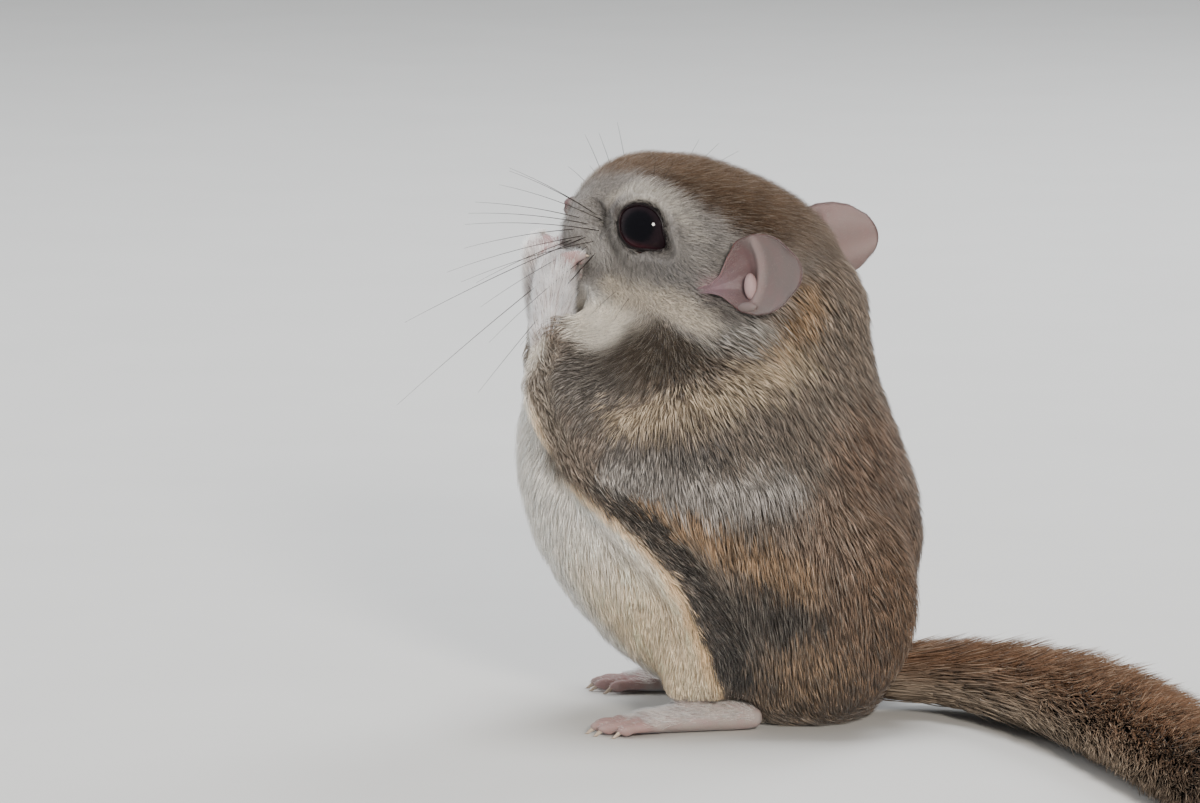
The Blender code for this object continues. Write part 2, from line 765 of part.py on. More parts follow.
def foot(word, side):
    """One hind foot flat on the floor, toes forward."""
    heel = on_side((3.4, 15.6, 2.9), side)
    turn = math.radians(8) * side
    heading = Vector((-math.cos(turn), -math.sin(turn), 0))
    across = Vector((0, 0, 1)).cross(heading)
    up = Vector((0, 0, 1))
    sole = [heel + heading * d + up * h for d, h in ((0, 0), (6, 0), (12, -0.5), (17, -0.9))]
    palm = limb("foot", sole, [2.8, 3.2, 3.5, 3.7], [3.2, 3.2, 2.6, 2.1], sides=10, turns=(55,))
    pieces = [palm]
    for i in range(5):
        spread = (i - 2) / 2
        start = heel + heading * (17.2 - 1.7 * spread * spread) + across * 2.9 * spread - up * 1.1
        way = (heading + across * 0.26 * spread).normalized()
        reach = 6.6 - 1.5 * abs(spread) ** 2
        pieces += toe("toe", start, way, up, reach, 1.05, 0.45, 2.3)
    whole = cut_off(fused("foot_" + word, pieces), (0, 0, ANKLE_TOP - GAP), (0, 0, 1))
    return cut_at_floor(whole)


def hand(word, side):
    """One hand raised to the mouth, its fingers bent over towards the lips."""
    wrist, middle = Vector(WRISTS[side]), Vector(HANDS[side])
    heading = (middle - wrist).normalized()
    inward = Vector((0.86, 0.30 * side, 0.40)).normalized()
    inward = (inward - heading * inward.dot(heading)).normalized()
    across = heading.cross(inward)
    palm = limb("hand", [wrist + heading * 1.7, wrist + heading * 3.6, middle + heading * 0.4],
                [2.9, 3.2, 3.4], [2.9, 3.1, 2.9], up=inward, sides=8, turns=(50,))
    pieces = [palm]
    for i in range(4):
        spread = (i - 1.5) / 1.5
        start = middle + across * 2.35 * spread + heading * (0.6 - 0.7 * spread * spread)
        way = (heading * 0.72 + inward * 0.62 + across * 0.12 * spread).normalized()
        top = (heading * 0.62 - inward * 0.72).normalized()
        pieces += toe("finger", start, way, top, 5.6 - 0.5 * spread * spread, 1.0, 2.2, 1.7)
    thumb_way = (inward * 0.8 + heading * 0.5).normalized()
    thumb = [middle - heading * 1.8 + inward * 1.2, middle - heading * 0.9 + inward * 3.0]
    pieces.append(limb("thumb", thumb, [0.95, 0.75], sides=6, up=thumb_way.orthogonal(), turns=(55,)))
    return fused("hand_" + word, pieces)


# The tail

def tail_route():
    """The tail's middle line, laid on the floor and curving round to the animal's left."""
    points = (
        (19, 0, 4.6), (29.5, -2.0, 4.5), (39.5, -9.0, 4.4), (48, -20.5, 4.3),
        (54.5, -35, 4.1), (59.5, -52, 3.9), (63.5, -70, 3.5), (66.5, -87, 3.0),
    )
    return smooth_route(points, 6)


def tail_middle():
    """The tail's middle line with how far along it each point is."""
    route = tail_route()
    travelled = [0.0]
    for a, b in zip(route, route[1:]):
        travelled.append(travelled[-1] + (b - a).length)
    return route, travelled


def along_tail(distance):
    """The point, the direction, the side and the fullness at a distance from the tail's root."""
    route, travelled = tail_middle()
    i = next((k for k, done in enumerate(travelled) if done > distance), len(route) - 1)
    share = (distance - travelled[i - 1]) / (travelled[i] - travelled[i - 1])
    along = (route[i] - route[i - 1]).normalized()
    side = along.cross(Vector((0, 0, 1))).normalized()
    full = blend((0.60, 0.82, 0.98, 1.0, 1.0, 0.96, 0.90, 0.76, 0.46), distance / travelled[-1])
    return route[i - 1].lerp(route[i], share), along, side, full


def lock(root, way, along, reach, lay, width, thick):
    """One flat tapered lock that leans out along way, then bends to lie back along the tail."""
    up = Vector((0, 0, 1))
    rings = []
    for t, wide, deep in ((-0.30, 0.85, 1.2), (0.22, 1.0, 1.0), (0.62, 0.74, 0.75), (1.0, 0.14, 0.35)):
        centre = root + way * reach * t * (1.55 - 0.55 * abs(t)) + along * lay * t * (0.72 + 0.28 * abs(t))
        ahead = (way * reach * (1.55 - 1.1 * abs(t)) + along * lay).normalized()
        top = (up + way * 0.45 - ahead * ahead.dot(up + way * 0.45)).normalized()
        flat = ahead.cross(top)
        rings.append(oval(centre, flat, top, width / 2 * wide, thick / 2 * deep, 4))
    return ring_loft("lock", rings)


def tail_core(low, high, closes):
    """The core of one length of the tail."""
    rings = []
    steps = 5
    for k in range(steps + 1):
        point, along, side, full = along_tail(low + (high - low) * k / steps)
        half_high = TAIL_CORE[1] * (0.5 + 0.5 * full)
        rings.append(oval(point, side, Vector((0, 0, 1)), TAIL_CORE[0] * full, half_high, 10))
    if closes:
        rings.append(oval(point + along * 1.4, side, Vector((0, 0, 1)), 0.9, 1.6, 10))
    return ring_loft("core", rings)


def tail_locks(low, high, chance):
    """The locks of one length of the tail, in rows that lie over one another."""
    locks = []
    rows = max(1, round((high - low - 2.0) / TAIL_LOCKS_APART))
    up = Vector((0, 0, 1))
    for row in range(rows):
        point, along, side, full = along_tail(low + 1.4 + (high - low - 2.6) * row / rows)
        angles = (4, 47, 90, 133, 176) if row % 2 else (24, 68, 112, 156)
        for angle in angles:
            turned = math.radians(angle + chance.uniform(-3, 3))
            c, s = math.cos(turned), math.sin(turned)
            core = Vector((TAIL_CORE[0] * full, TAIL_CORE[1] * (0.5 + 0.5 * full)))
            start = point + side * c * core.x * 0.7 + up * s * core.y * 0.7
            way = (side * c * (TAIL_REACH[0] * full - core.x * 0.7)
                   + up * s * (TAIL_REACH[1] * (0.3 + 0.7 * full) - core.y * 0.7))
            reach = way.length * chance.uniform(0.9, 1.05)
            lay = TAIL_LAY * (0.55 + 0.45 * full) * chance.uniform(0.9, 1.1)
            locks.append(lock(start, way.normalized(), along, reach, lay, 6.4 * (0.5 + 0.5 * full), 1.2))
    return locks


def tail_end_locks(total):
    """The tuft at the tail's end."""
    point, along, side, _ = along_tail(total - 1.2)
    locks = []
    for spread in (-0.6, -0.3, 0.0, 0.3, 0.6):
        locks.append(lock(point - along * 1.2, side * math.copysign(1, spread or 1), along,
                          abs(spread) * 7 + 0.2, 8.5 - 4 * abs(spread), 3.2, 1.2))
    return locks


def tail_nodes():
    """The tail in four lengths. A length's last locks stop short of the next length's core."""
    chance = random.Random(7)
    total = tail_middle()[1][-1]
    names = ("tail_root", "tail_upper", "tail_lower", "tail_tip")
    ends = [total * share for share in (0, 0.24, 0.5, 0.76, 1.0)]
    made = {}
    for index, name in enumerate(names):
        low, high = ends[index] + (GAP if index else 0), ends[index + 1]
        last = index == len(names) - 1
        pieces = [tail_core(low, high, last), *tail_locks(low, high, chance)]
        if last:
            pieces += tail_end_locks(total)
        made[name] = cut_at_floor(fused(name, pieces))
    for front, rear in zip(names, names[1:]):
        clear_of(made[rear], made[front])
    return made


# Assembly

def clear_scene():
    """Empties the scene and makes the two collections."""
    for obj in list(bpy.data.objects):
        bpy.data.objects.remove(obj)
    for name in ("flying_squirrel", "cutters"):
        group = bpy.data.collections.new(name)
        bpy.context.scene.collection.children.link(group)


def centre_over_origin(nodes):
    """Moves the whole model so that its box stands centred over the origin."""
    points = [vert.co for obj in nodes.values() for vert in obj.data.vertices]
    middle = [(min(p[k] for p in points) + max(p[k] for p in points)) / 2 for k in (0, 1)]
    for obj in nodes.values():
        obj.data.transform(Matrix.Translation((-middle[0], -middle[1], 0)))


def finish_of(node_name):
    """The coat or skin that a node shows."""
    if node_name.startswith("eye"):
        return "eye"
    if node_name.startswith(("ear", "nose", "hand", "foot")):
        return "bare_skin"
    if node_name.startswith("tail"):
        return "tail_coat"
    if node_name.startswith(("belly", "jaw", "shin")):
        return "white_coat"
    if node_name.startswith(("head", "muzzle", "whisker", "forearm", "membrane")):
        return "grey_coat"
    return "brown_coat"


def dress(nodes):
    """Brings each node to metres and gives it its material and smooth shading."""
    materials = {}
    for name, (colour, roughness) in COATS.items():
        material = bpy.data.materials.new(name)
        material.use_nodes = True
        shader = material.node_tree.nodes["Principled BSDF"]
        shader.inputs["Base Color"].default_value = (*colour, 1)
        shader.inputs["Roughness"].default_value = roughness
        shader.inputs["Metallic"].default_value = 0
        materials[name] = material
    for name, obj in nodes.items():
        obj.data.transform(Matrix.Scale(MM, 4))
        obj.data.materials.clear()
        obj.data.materials.append(materials[finish_of(name)])
        obj.data.shade_smooth()
        obj.data.set_sharp_from_angle(angle=math.radians(50))


def main():
    """Builds every node of the squirrel."""
    clear_scene()
    nodes = part_flesh(flesh_whole())
    for word, side in SIDES.items():
        eyeball = eye(word, side)
        ring = lids(side)
        boolean(nodes["head"], ring, "UNION")
        remove(ring)
        clear_of(nodes["head"], eyeball)
        nodes["eye_" + word] = eyeball
    for word, side in SIDES.items():
        nodes["ear_" + word] = clear_of(ear(word, side), nodes["head"], nodes["neck"])
        nodes["foot_" + word] = clear_of(foot(word, side), nodes["rump"], nodes["thigh_" + word])
    nodes["nose"] = clear_of(nose(), nodes["muzzle"])
    for word, side in SIDES.items():
        nodes["hand_" + word] = clear_of(
            hand(word, side), nodes["muzzle"], nodes["jaw"], nodes["nose"], nodes["head"],
            nodes["forearm_" + word], nodes["membrane_" + word], nodes["chest"], nodes["neck"])
    clear_of(nodes["hand_right"], nodes["hand_left"])
    for word, side in SIDES.items():
        name = "whisker_pad_" + word
        pad = parted(nodes["muzzle"], whisker_pad_region(side), name)
        pad = clear_of(fused(name, [pad, *whiskers(side)]), nodes["hand_left"], nodes["hand_right"])
        nodes[name] = pad
    nodes.update(tail_nodes())
    clear_of(nodes["tail_root"], nodes["rump"], nodes["thigh_left"], nodes["thigh_right"])
    centre_over_origin(nodes)
    dress(nodes)


main()
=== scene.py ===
"""A flying squirrel sitting up with both hands at its mouth: its skin, coat, eyes and bare parts.

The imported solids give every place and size. Lengths here are in millimetres in the animal's own frame:
it faces -X, its left side faces -Y, and the floor is z = 0. The head has a frame of its own, with
values given forward, left and up from its middle. A mesh is brought to metres as it is made.
"""

import logging
import math
from dataclasses import dataclass, field
from enum import Enum
from typing import Any, Callable, Sequence

import bmesh
import bpy
import numpy as np
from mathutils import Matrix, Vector
from mathutils.bvhtree import BVHTree
from mathutils.kdtree import KDTree


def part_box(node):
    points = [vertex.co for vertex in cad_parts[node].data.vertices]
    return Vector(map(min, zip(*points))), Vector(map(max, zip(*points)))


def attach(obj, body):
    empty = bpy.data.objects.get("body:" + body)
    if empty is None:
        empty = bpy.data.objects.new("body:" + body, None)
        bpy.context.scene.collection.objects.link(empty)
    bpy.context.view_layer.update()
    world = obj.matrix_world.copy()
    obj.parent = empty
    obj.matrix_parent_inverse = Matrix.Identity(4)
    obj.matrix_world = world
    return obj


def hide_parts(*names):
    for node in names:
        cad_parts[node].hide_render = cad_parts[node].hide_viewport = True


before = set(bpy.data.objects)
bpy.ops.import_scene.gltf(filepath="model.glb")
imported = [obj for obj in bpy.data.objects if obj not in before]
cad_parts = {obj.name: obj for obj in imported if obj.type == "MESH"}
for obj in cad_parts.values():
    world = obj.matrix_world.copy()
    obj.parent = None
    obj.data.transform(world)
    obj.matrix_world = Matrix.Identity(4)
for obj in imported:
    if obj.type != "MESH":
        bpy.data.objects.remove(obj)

Array = np.ndarray
Triple = tuple[float, float, float]
Pair = tuple[float, float]
Socket = bpy.types.NodeSocket

MM = 0.001
BODY = "root"
SEED = 20
UP = np.array([0, 0, 1.0])
FLOOR_CLEARANCE = 0.05  # the coat's lowest hairs lie this far above the floor
COAT_LIGHTNESS = 1.5  # hair is this much lighter than it looks between its own shadows

log = logging.getLogger("flying_squirrel")


# Numbers and colours

def unit(vectors: Array) -> Array:
    """Scales one vector, or each row of many, to a length of one."""
    size = np.linalg.norm(vectors, axis=-1, keepdims=True)
    return vectors / np.maximum(size, 1e-9)


def dot(a: Array, b: Array) -> Array:
    """The product of rows with rows, kept as a column."""
    return np.sum(a * b, axis=-1, keepdims=True)


def ramp(low: float, high: float, values: Array) -> Array:
    """Goes smoothly from 0 at low to 1 at high, which may lie below low."""
    share = np.clip((values - low) / (high - low), 0, 1)
    return share * share * (3 - 2 * share)


def linear(hex_colour: str) -> Array:
    """Turns an sRGB hex value such as #8a7f74 into linear red, green and blue."""
    raw = np.array([int(hex_colour[i : i + 2], 16) for i in (1, 3, 5)]) / 255
    return np.where(raw <= 0.04045, raw / 12.92, ((raw + 0.055) / 1.055) ** 2.4)


def rgba(hex_colour: str) -> tuple[float, float, float, float]:
    """The linear colour of a hex value with full opacity, for a socket."""
    red, green, blue = linear(hex_colour)
    return float(red), float(green), float(blue), 1.0


def tinted(tones: Array, share: Array, hex_colour: str) -> Array:
    """Mixes a colour into tones by a share for each."""
    return tones + share * (linear(hex_colour) - tones)


def blend(values: Sequence[float], share: Array) -> Array:
    """Reads a list of values at even stations, at shares of its length from 0 to 1."""
    return np.interp(share, np.linspace(0, 1, len(values)), values)


def smooth_route(points: Sequence[Triple], steps: int) -> Array:
    """Lays a smooth curve through points.

    Args:
        points: the places that it passes.
        steps: how many points each stretch gets.

    Returns:
        The curve's points.
    """
    known = np.asarray(points, float)
    padded = np.vstack([2 * known[0] - known[1], known, 2 * known[-1] - known[-2]])
    route = []
    for i in range(len(known) - 1):
        a, b, c, d = padded[i : i + 4]
        for t in np.arange(steps) / steps:
            bend, twist = 2 * a - 5 * b + 4 * c - d, 3 * b - a - 3 * c + d
            route.append(0.5 * (2 * b + (c - a) * t + bend * t**2 + twist * t**3))
    return np.array(route + [known[-1]])


# The animal's frame

class Side(Enum):
    """The two sides of the animal."""

    LEFT = 1
    RIGHT = -1

    @property
    def word(self) -> str:
        """The side's name as the solids write it."""
        return self.name.lower()

    def body(self, place: Sequence[float]) -> Array:
        """A place given with its distance out from the middle plane, on this side of the body."""
        return np.array([place[0], -place[1] * self.value, place[2]])

    def spot(self, place: Sequence[float]) -> Array:
        """A place given for the left of the head, on this side of it, in the animal's frame."""
        return HEAD.place([place[0], place[1] * self.value, place[2]])

    def way(self, direction: Sequence[float]) -> Array:
        """A direction given for the left of the head, on this side of it, in the animal's frame."""
        return HEAD.way([direction[0], direction[1] * self.value, direction[2]])


@dataclass(frozen=True)
class HeadHold:
    """How the head is held."""

    centre: Triple = (-5.8, 4.0, 65.4)
    pitch: float = 26.0  # nose up
    yaw: float = 19.0  # nose turned to the animal's right
    roll: float = 3.0

    def axes(self) -> Array:
        """The head's forward, left and up directions, as rows."""
        pitch, yaw, roll = (math.radians(a) for a in (self.pitch, self.yaw, self.roll))
        flat = np.array([-math.cos(yaw), math.sin(yaw), 0])
        forward = flat * math.cos(pitch) + np.array([0, 0, math.sin(pitch)])
        level = np.cross([0, 0, 1], flat)
        raised = np.cross(forward, level)
        left = level * math.cos(roll) - raised * math.sin(roll)
        return np.array([forward, left, np.cross(forward, left)])

    def place(self, local: Sequence[float] | Array) -> Array:
        """Points of the head's frame, in the animal's."""
        return np.asarray(self.centre) + np.asarray(local, float) @ self.axes()

    def way(self, local: Sequence[float] | Array) -> Array:
        """Directions of the head's frame, in the animal's."""
        return unit(np.asarray(local, float) @ self.axes())

    def local(self, places: Array) -> Array:
        """Points of the animal's frame, in the head's."""
        return (places - np.asarray(self.centre)) @ self.axes().T


@dataclass(frozen=True)
class EyeForm:
    """Where an eye sits in the head and how its lids open. The rear corner lies low."""

    place: Triple = (6.2, 7.8, 4.9)
    look: Triple = (0.14, 1.0, 0.16)
    level: Triple = (1, 0, -0.12)  # the way from the rear corner to the front one
    radius: float = 4.66
    tear_film: float = 0.06  # the lids slide this far outside the ball
    opening: float = 3.38
    lowness: float = 0.09  # the lids open this share less up and down
    rear_corner: Pair = (1.02, 202)  # how far it reaches past the opening, and its angle
    front_corner: Pair = (0.5, 12)
    sharpness: int = 14  # of both corners

    def axes(self, side: Side) -> Array:
        """The eye's own directions: towards the nose, up, and the way it looks."""
        look = side.way(self.look)
        ahead = HEAD.way(self.level)
        ahead = unit(ahead - look * (ahead @ look))
        over = np.cross(look, ahead)
        return np.array([ahead, over * math.copysign(1, over[2]), look])

    def centre(self, side: Side) -> Array:
        """The middle of the eyeball."""
        return side.spot(self.place)

    def rim(self, angle: Array) -> Array:
        """How far the lids' inner edge lies from the eye's axis, by the angle from ahead to up."""
        edge = self.opening * (1 - self.lowness * np.sin(angle) ** 2)
        for reach, turn in (self.rear_corner, self.front_corner):
            edge = edge + reach * np.maximum(np.cos(angle - math.radians(turn)), 0) ** self.sharpness
        return edge

    def lid_height(self, rim: Array) -> Array:
        """How far out along the eye's axis the lids' edge lies, by its distance from the axis."""
        return np.sqrt(np.maximum((self.radius + self.tear_film) ** 2 - rim**2, 0))

    def seen(self, places: Array, side: Side) -> tuple[Array, Array, Array]:
        """Measures points from an eye.

        Args:
            places: points in the animal's frame.
            side: which eye.

        Returns:
            The points in the eye's own directions, how far each lies from its axis, and how far the
            lids' edge lies from it towards each.
        """
        local = (places - self.centre(side)) @ self.axes(side).T
        return local, np.hypot(local[:, 0], local[:, 1]), self.rim(np.arctan2(local[:, 1], local[:, 0]))


HEAD = HeadHold()
EYE = EyeForm()

# Places of the limbs and the tail, the membrane's with the distance out from the middle plane
WRISTS: dict[Side, Triple] = {Side.LEFT: (-26.2, -3.2, 58.6), Side.RIGHT: (-26.9, 11.4, 59.0)}
HANDS: dict[Side, Triple] = {Side.LEFT: (-25.2, 3.2, 65.0), Side.RIGHT: (-27.6, 11.4, 66.6)}
MEMBRANE_EDGE: tuple[Triple, ...] = (
    (-29.3, 12.6, 50.5), (-27.0, 15.6, 45.0), (-21.8, 19.0, 38.6), (-14.4, 21.8, 30.4),
    (-6.4, 23.6, 21.6), (-2.0, 22.4, 13.5), (-3.0, 19.4, 6.0),
)
TAIL_LINE: tuple[Triple, ...] = (
    (19, 0, 4.6), (29.5, -2.0, 4.5), (39.5, -9.0, 4.4), (48, -20.5, 4.3),
    (54.5, -35, 4.1), (59.5, -52, 3.9), (63.5, -70, 3.5), (66.5, -87, 3.0),
)


def frame_shift() -> Array:
    """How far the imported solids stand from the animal's own frame, read from where its left eye is."""
    low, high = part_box("eye_left")
    middle = np.array([(low[k] + high[k]) / 2 for k in range(3)]) / MM
    shift = middle - HEAD.place(EYE.place)
    shift[2] = 0.0
    return shift


SHIFT = frame_shift()


# Meshes

@dataclass
class Shell:
    """Points and triangles that are to become one mesh."""

    points: Array
    triangles: Array

    def facing_out(self) -> "Shell":
        """The same closed shell, turned so that its faces look outwards."""
        a, b, c = (self.points[self.triangles[:, k]] for k in range(3))
        volume = np.sum(a * np.cross(b, c))
        return self if volume > 0 else Shell(self.points, self.triangles[:, ::-1])

    @staticmethod
    def joined(shells: Sequence["Shell"]) -> "Shell":
        """Puts several shells into one.

        Args:
            shells: the shells to join.

        Returns:
            One shell with all their points and triangles.
        """
        bases = np.cumsum([0] + [len(s.points) for s in shells[:-1]])
        triangles = [s.triangles + base for s, base in zip(shells, bases)]
        return Shell(np.vstack([s.points for s in shells]), np.vstack(triangles))


def strip(low: Array, high: Array) -> Array:
    """Triangles between two closed rings of point numbers."""
    low_next, high_next = np.roll(low, -1), np.roll(high, -1)
    first = np.stack([low, low_next, high_next], axis=1)
    return np.vstack([first, np.stack([low, high_next, high], axis=1)])


def ring_shell(rings: Sequence[Array]) -> Shell:
    """A closed shell through rings of points, each end closed by a fan.

    Args:
        rings: rings with the same number of points.

    Returns:
        The shell.
    """
    count = len(rings[0])
    numbers = [np.arange(count) + i * count for i in range(len(rings))]
    faces = [strip(a, b) for a, b in zip(numbers, numbers[1:])]
    ends = [np.mean(rings[0], axis=0), np.mean(rings[-1], axis=0)]
    base = len(rings) * count
    for ring, middle, turn in ((numbers[0], base, -1), (numbers[-1], base + 1, 1)):
        fan = np.stack([ring, np.roll(ring, -1), np.full(count, middle)], axis=1)
        faces.append(fan[:, ::turn])
    return Shell(np.vstack([*rings, ends]), np.vstack(faces)).facing_out()


def tube(
    points: Sequence[Any], widths: Sequence[float], heights: Sequence[float] | None = None,
    up: Sequence[float] = (0, 0, 1), sides: int = 14, rounded: bool = True,
) -> Shell:
    """A tapered solid along points.

    Args:
        points: the middle line.
        widths: its half width at each point.
        heights: its half height at each point, if that differs.
        up: which way its height lies.
        sides: how many points its rings have.
        rounded: whether its ends are round.

    Returns:
        The closed shell.
    """
    line = np.asarray([np.asarray(p, float) for p in points])
    heights = widths if heights is None else heights
    angle = 2 * np.pi * np.arange(sides) / sides
    rings = []
    last = len(line) - 1
    for i, point in enumerate(line):
        along = unit(line[min(i + 1, last)] - line[max(i - 1, 0)])
        side = unit(np.cross(along, up))
        top = np.cross(side, along)
        flat = np.outer(np.cos(angle), side * widths[i]) + np.outer(np.sin(angle), top * heights[i])
        bulge = along * min(widths[i], heights[i])
        turns = np.radians((40, 72)) if rounded else ()
        caps = [point + flat * math.cos(t) + bulge * math.sin(t) * (1 if i == last else -1) for t in turns]
        if i == 0:
            rings += caps[::-1]
        rings.append(point + flat)
        if i == last:
            rings += caps
    return ring_shell(rings)


def ball(centre: Array, radii: Sequence[float], axes: Array, segments: int = 32, rings: int = 18) -> Shell:
    """An ellipsoid.

    Args:
        centre: its middle.
        radii: its radii along the axes.
        axes: three directions as rows. The poles lie on the last.
        segments: points round each ring.
        rings: rings between the poles.

    Returns:
        The closed shell.
    """
    angle = 2 * np.pi * np.arange(segments) / segments
    made = []
    for tilt in np.linspace(-np.pi / 2, np.pi / 2, rings + 2)[1:-1]:
        flat = np.stack([np.cos(angle) * math.cos(tilt), np.sin(angle) * math.cos(tilt),
                         np.full(segments, math.sin(tilt))], axis=1)
        made.append(centre + (flat * np.asarray(radii)) @ axes)
    shell = ring_shell(made)
    shell.points[-2] = centre - axes[2] * radii[2]
    shell.points[-1] = centre + axes[2] * radii[2]
    return shell


def mesh_object(name: str, shell: Shell) -> bpy.types.Object:
    """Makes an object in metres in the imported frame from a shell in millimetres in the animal's.

    Args:
        name: the piece's name.
        shell: its points and triangles.

    Returns:
        The linked object, shaded smooth.
    """
    mesh = bpy.data.meshes.new(name)
    points = ((shell.points + SHIFT) * MM).astype(np.float32)
    faces = shell.triangles.astype(np.int32)
    mesh.vertices.add(len(points))
    mesh.vertices.foreach_set("co", points.ravel())
    mesh.loops.add(faces.size)
    mesh.loops.foreach_set("vertex_index", faces.ravel())
    mesh.polygons.add(len(faces))
    mesh.polygons.foreach_set("loop_start", np.arange(0, faces.size, 3, dtype=np.int32))
    mesh.update(calc_edges=True)
    mesh.shade_smooth()
    obj = bpy.data.objects.new(name, mesh)
    bpy.context.scene.collection.objects.link(obj)
    return obj


def paint(obj: bpy.types.Object, tones: Array) -> None:
    """Writes a linear colour for each point of a piece, which its material reads as tone."""
    layer = obj.data.color_attributes.new("tone", "FLOAT_COLOR", "POINT")
    values = np.ones((len(tones), 4), np.float32)
    values[:, :3] = np.clip(tones, 0, 1)
    layer.data.foreach_set("color", values.ravel())


def shell_of(obj: bpy.types.Object) -> Shell:
    """Reads an object's mesh, with its modifiers, back as a shell."""
    mesh = bpy.data.meshes.new_from_object(obj.evaluated_get(bpy.context.evaluated_depsgraph_get()))
    mesh.calc_loop_triangles()
    points = np.empty(len(mesh.vertices) * 3, np.float32)
    mesh.vertices.foreach_get("co", points)
    triangles = np.empty(len(mesh.loop_triangles) * 3, np.int32)
    mesh.loop_triangles.foreach_get("vertices", triangles)
    bpy.data.meshes.remove(mesh)
    return Shell(points.reshape(-1, 3).astype(float) / MM - SHIFT, triangles.reshape(-1, 3).astype(np.int64))


def melted(name: str, shells: Sequence[Shell], voxel: float, rounds: int) -> "Surface":
    """Melts overlapping closed shells into one smooth surface.

    Args:
        name: a name for the helper object.
        shells: the closed shells.
        voxel: the size of the grid that joins them.
        rounds: how often the result is smoothed.

    Returns:
        The outer surface.
    """
    obj = mesh_object(name, Shell.joined(shells))
    remesh = obj.modifiers.new("melt", "REMESH")
    remesh.mode = "VOXEL"
    remesh.voxel_size = voxel * MM
    shell = shell_of(obj)
    mesh = obj.data
    bpy.data.objects.remove(obj)
    bpy.data.meshes.remove(mesh)
    surface = Surface(outer_only(shell))
    surface.relax(rounds)
    return surface


def outer_only(shell: Shell) -> Shell:
    """Keeps the one connected surface of a shell with the most points."""
    a = shell.triangles[:, [0, 1, 2]].ravel()
    b = shell.triangles[:, [1, 2, 0]].ravel()
    label = np.arange(len(shell.points))
    while True:
        lower = label.copy()
        np.minimum.at(lower, a, label[b])
        np.minimum.at(lower, b, label[a])
        lower = lower[lower]
        if np.array_equal(lower, label):
            break
        label = lower
    kept = label == np.bincount(label).argmax()
    number = np.cumsum(kept) - 1
    return Shell(shell.points[kept], number[shell.triangles[kept[shell.triangles[:, 0]]]])


class Surface:
    """A closed surface with normals, and with values at its points that can be smoothed over it."""

    def __init__(self, shell: Shell) -> None:
        """Takes over a shell.

        Args:
            shell: points and triangles.
        """
        self.points = shell.points
        self.triangles = shell.triangles
        pairs = np.sort(np.vstack([self.triangles[:, ends] for ends in ([0, 1], [1, 2], [2, 0])]))
        edges = np.unique(pairs, axis=0)
        self.start = np.concatenate([edges[:, 0], edges[:, 1]])
        self.end = np.concatenate([edges[:, 1], edges[:, 0]])
        self.degree = np.bincount(self.start, minlength=len(self.points)).astype(float)

    @property
    def normals(self) -> Array:
        """The outward direction at each point."""
        a, b, c = (self.points[self.triangles[:, k]] for k in range(3))
        face = np.cross(b - a, c - a)
        total = np.zeros_like(self.points)
        for k in range(3):
            for axis in range(3):
                total[:, axis] += np.bincount(self.triangles[:, k], face[:, axis], len(self.points))
        return unit(total)

    def neighbour_mean(self, values: Array) -> Array:
        """The mean of each point's neighbours."""
        columns = values.reshape(len(values), -1)
        sums = [np.bincount(self.start, column[self.end], len(values)) for column in columns.T]
        return (np.stack(sums, 1) / self.degree[:, None]).reshape(values.shape)

    def relax(self, rounds: int) -> None:
        """Smooths the shape, and swells it back after each step so that thin parts keep their size."""
        for _ in range(rounds):
            for factor in (0.55, -0.35):
                self.points = self.points + factor * (self.neighbour_mean(self.points) - self.points)

    def spread(self, values: Array, rounds: int) -> Array:
        """Smooths values over the surface."""
        for _ in range(rounds):
            values = 0.4 * values + 0.6 * self.neighbour_mean(values)
        return values

    def shell(self) -> Shell:
        """The surface as a plain shell."""
        return Shell(self.points, self.triangles)


# Finishes

# The sockets of a colour mix
SHARE, FIRST, SECOND, MIXED = 0, 6, 7, 2


def add_node(
    tree: bpy.types.NodeTree, kind: str, settings: dict[str, Any] | None = None,
    values: dict[Any, Any] | None = None, links: dict[Any, Any] | None = None,
) -> bpy.types.Node:
    """Adds a node with its settings, its values and what is linked to it.

    Args:
        tree: the material's node tree.
        kind: the node's type.
        settings: properties of the node.
        values: values for its sockets.
        links: output sockets to link to its inputs.

    Returns:
        The node.
    """
    node = tree.nodes.new(kind)
    for name, value in (settings or {}).items():
        setattr(node, name, value)
    for key, value in (values or {}).items():
        node.inputs[key].default_value = value
    for key, source in (links or {}).items():
        tree.links.new(source, node.inputs[key])
    return node


def per_mm(size: float) -> float:
    """The scale of a pattern that repeats every so many millimetres."""
    return 1.0 / (size * MM)


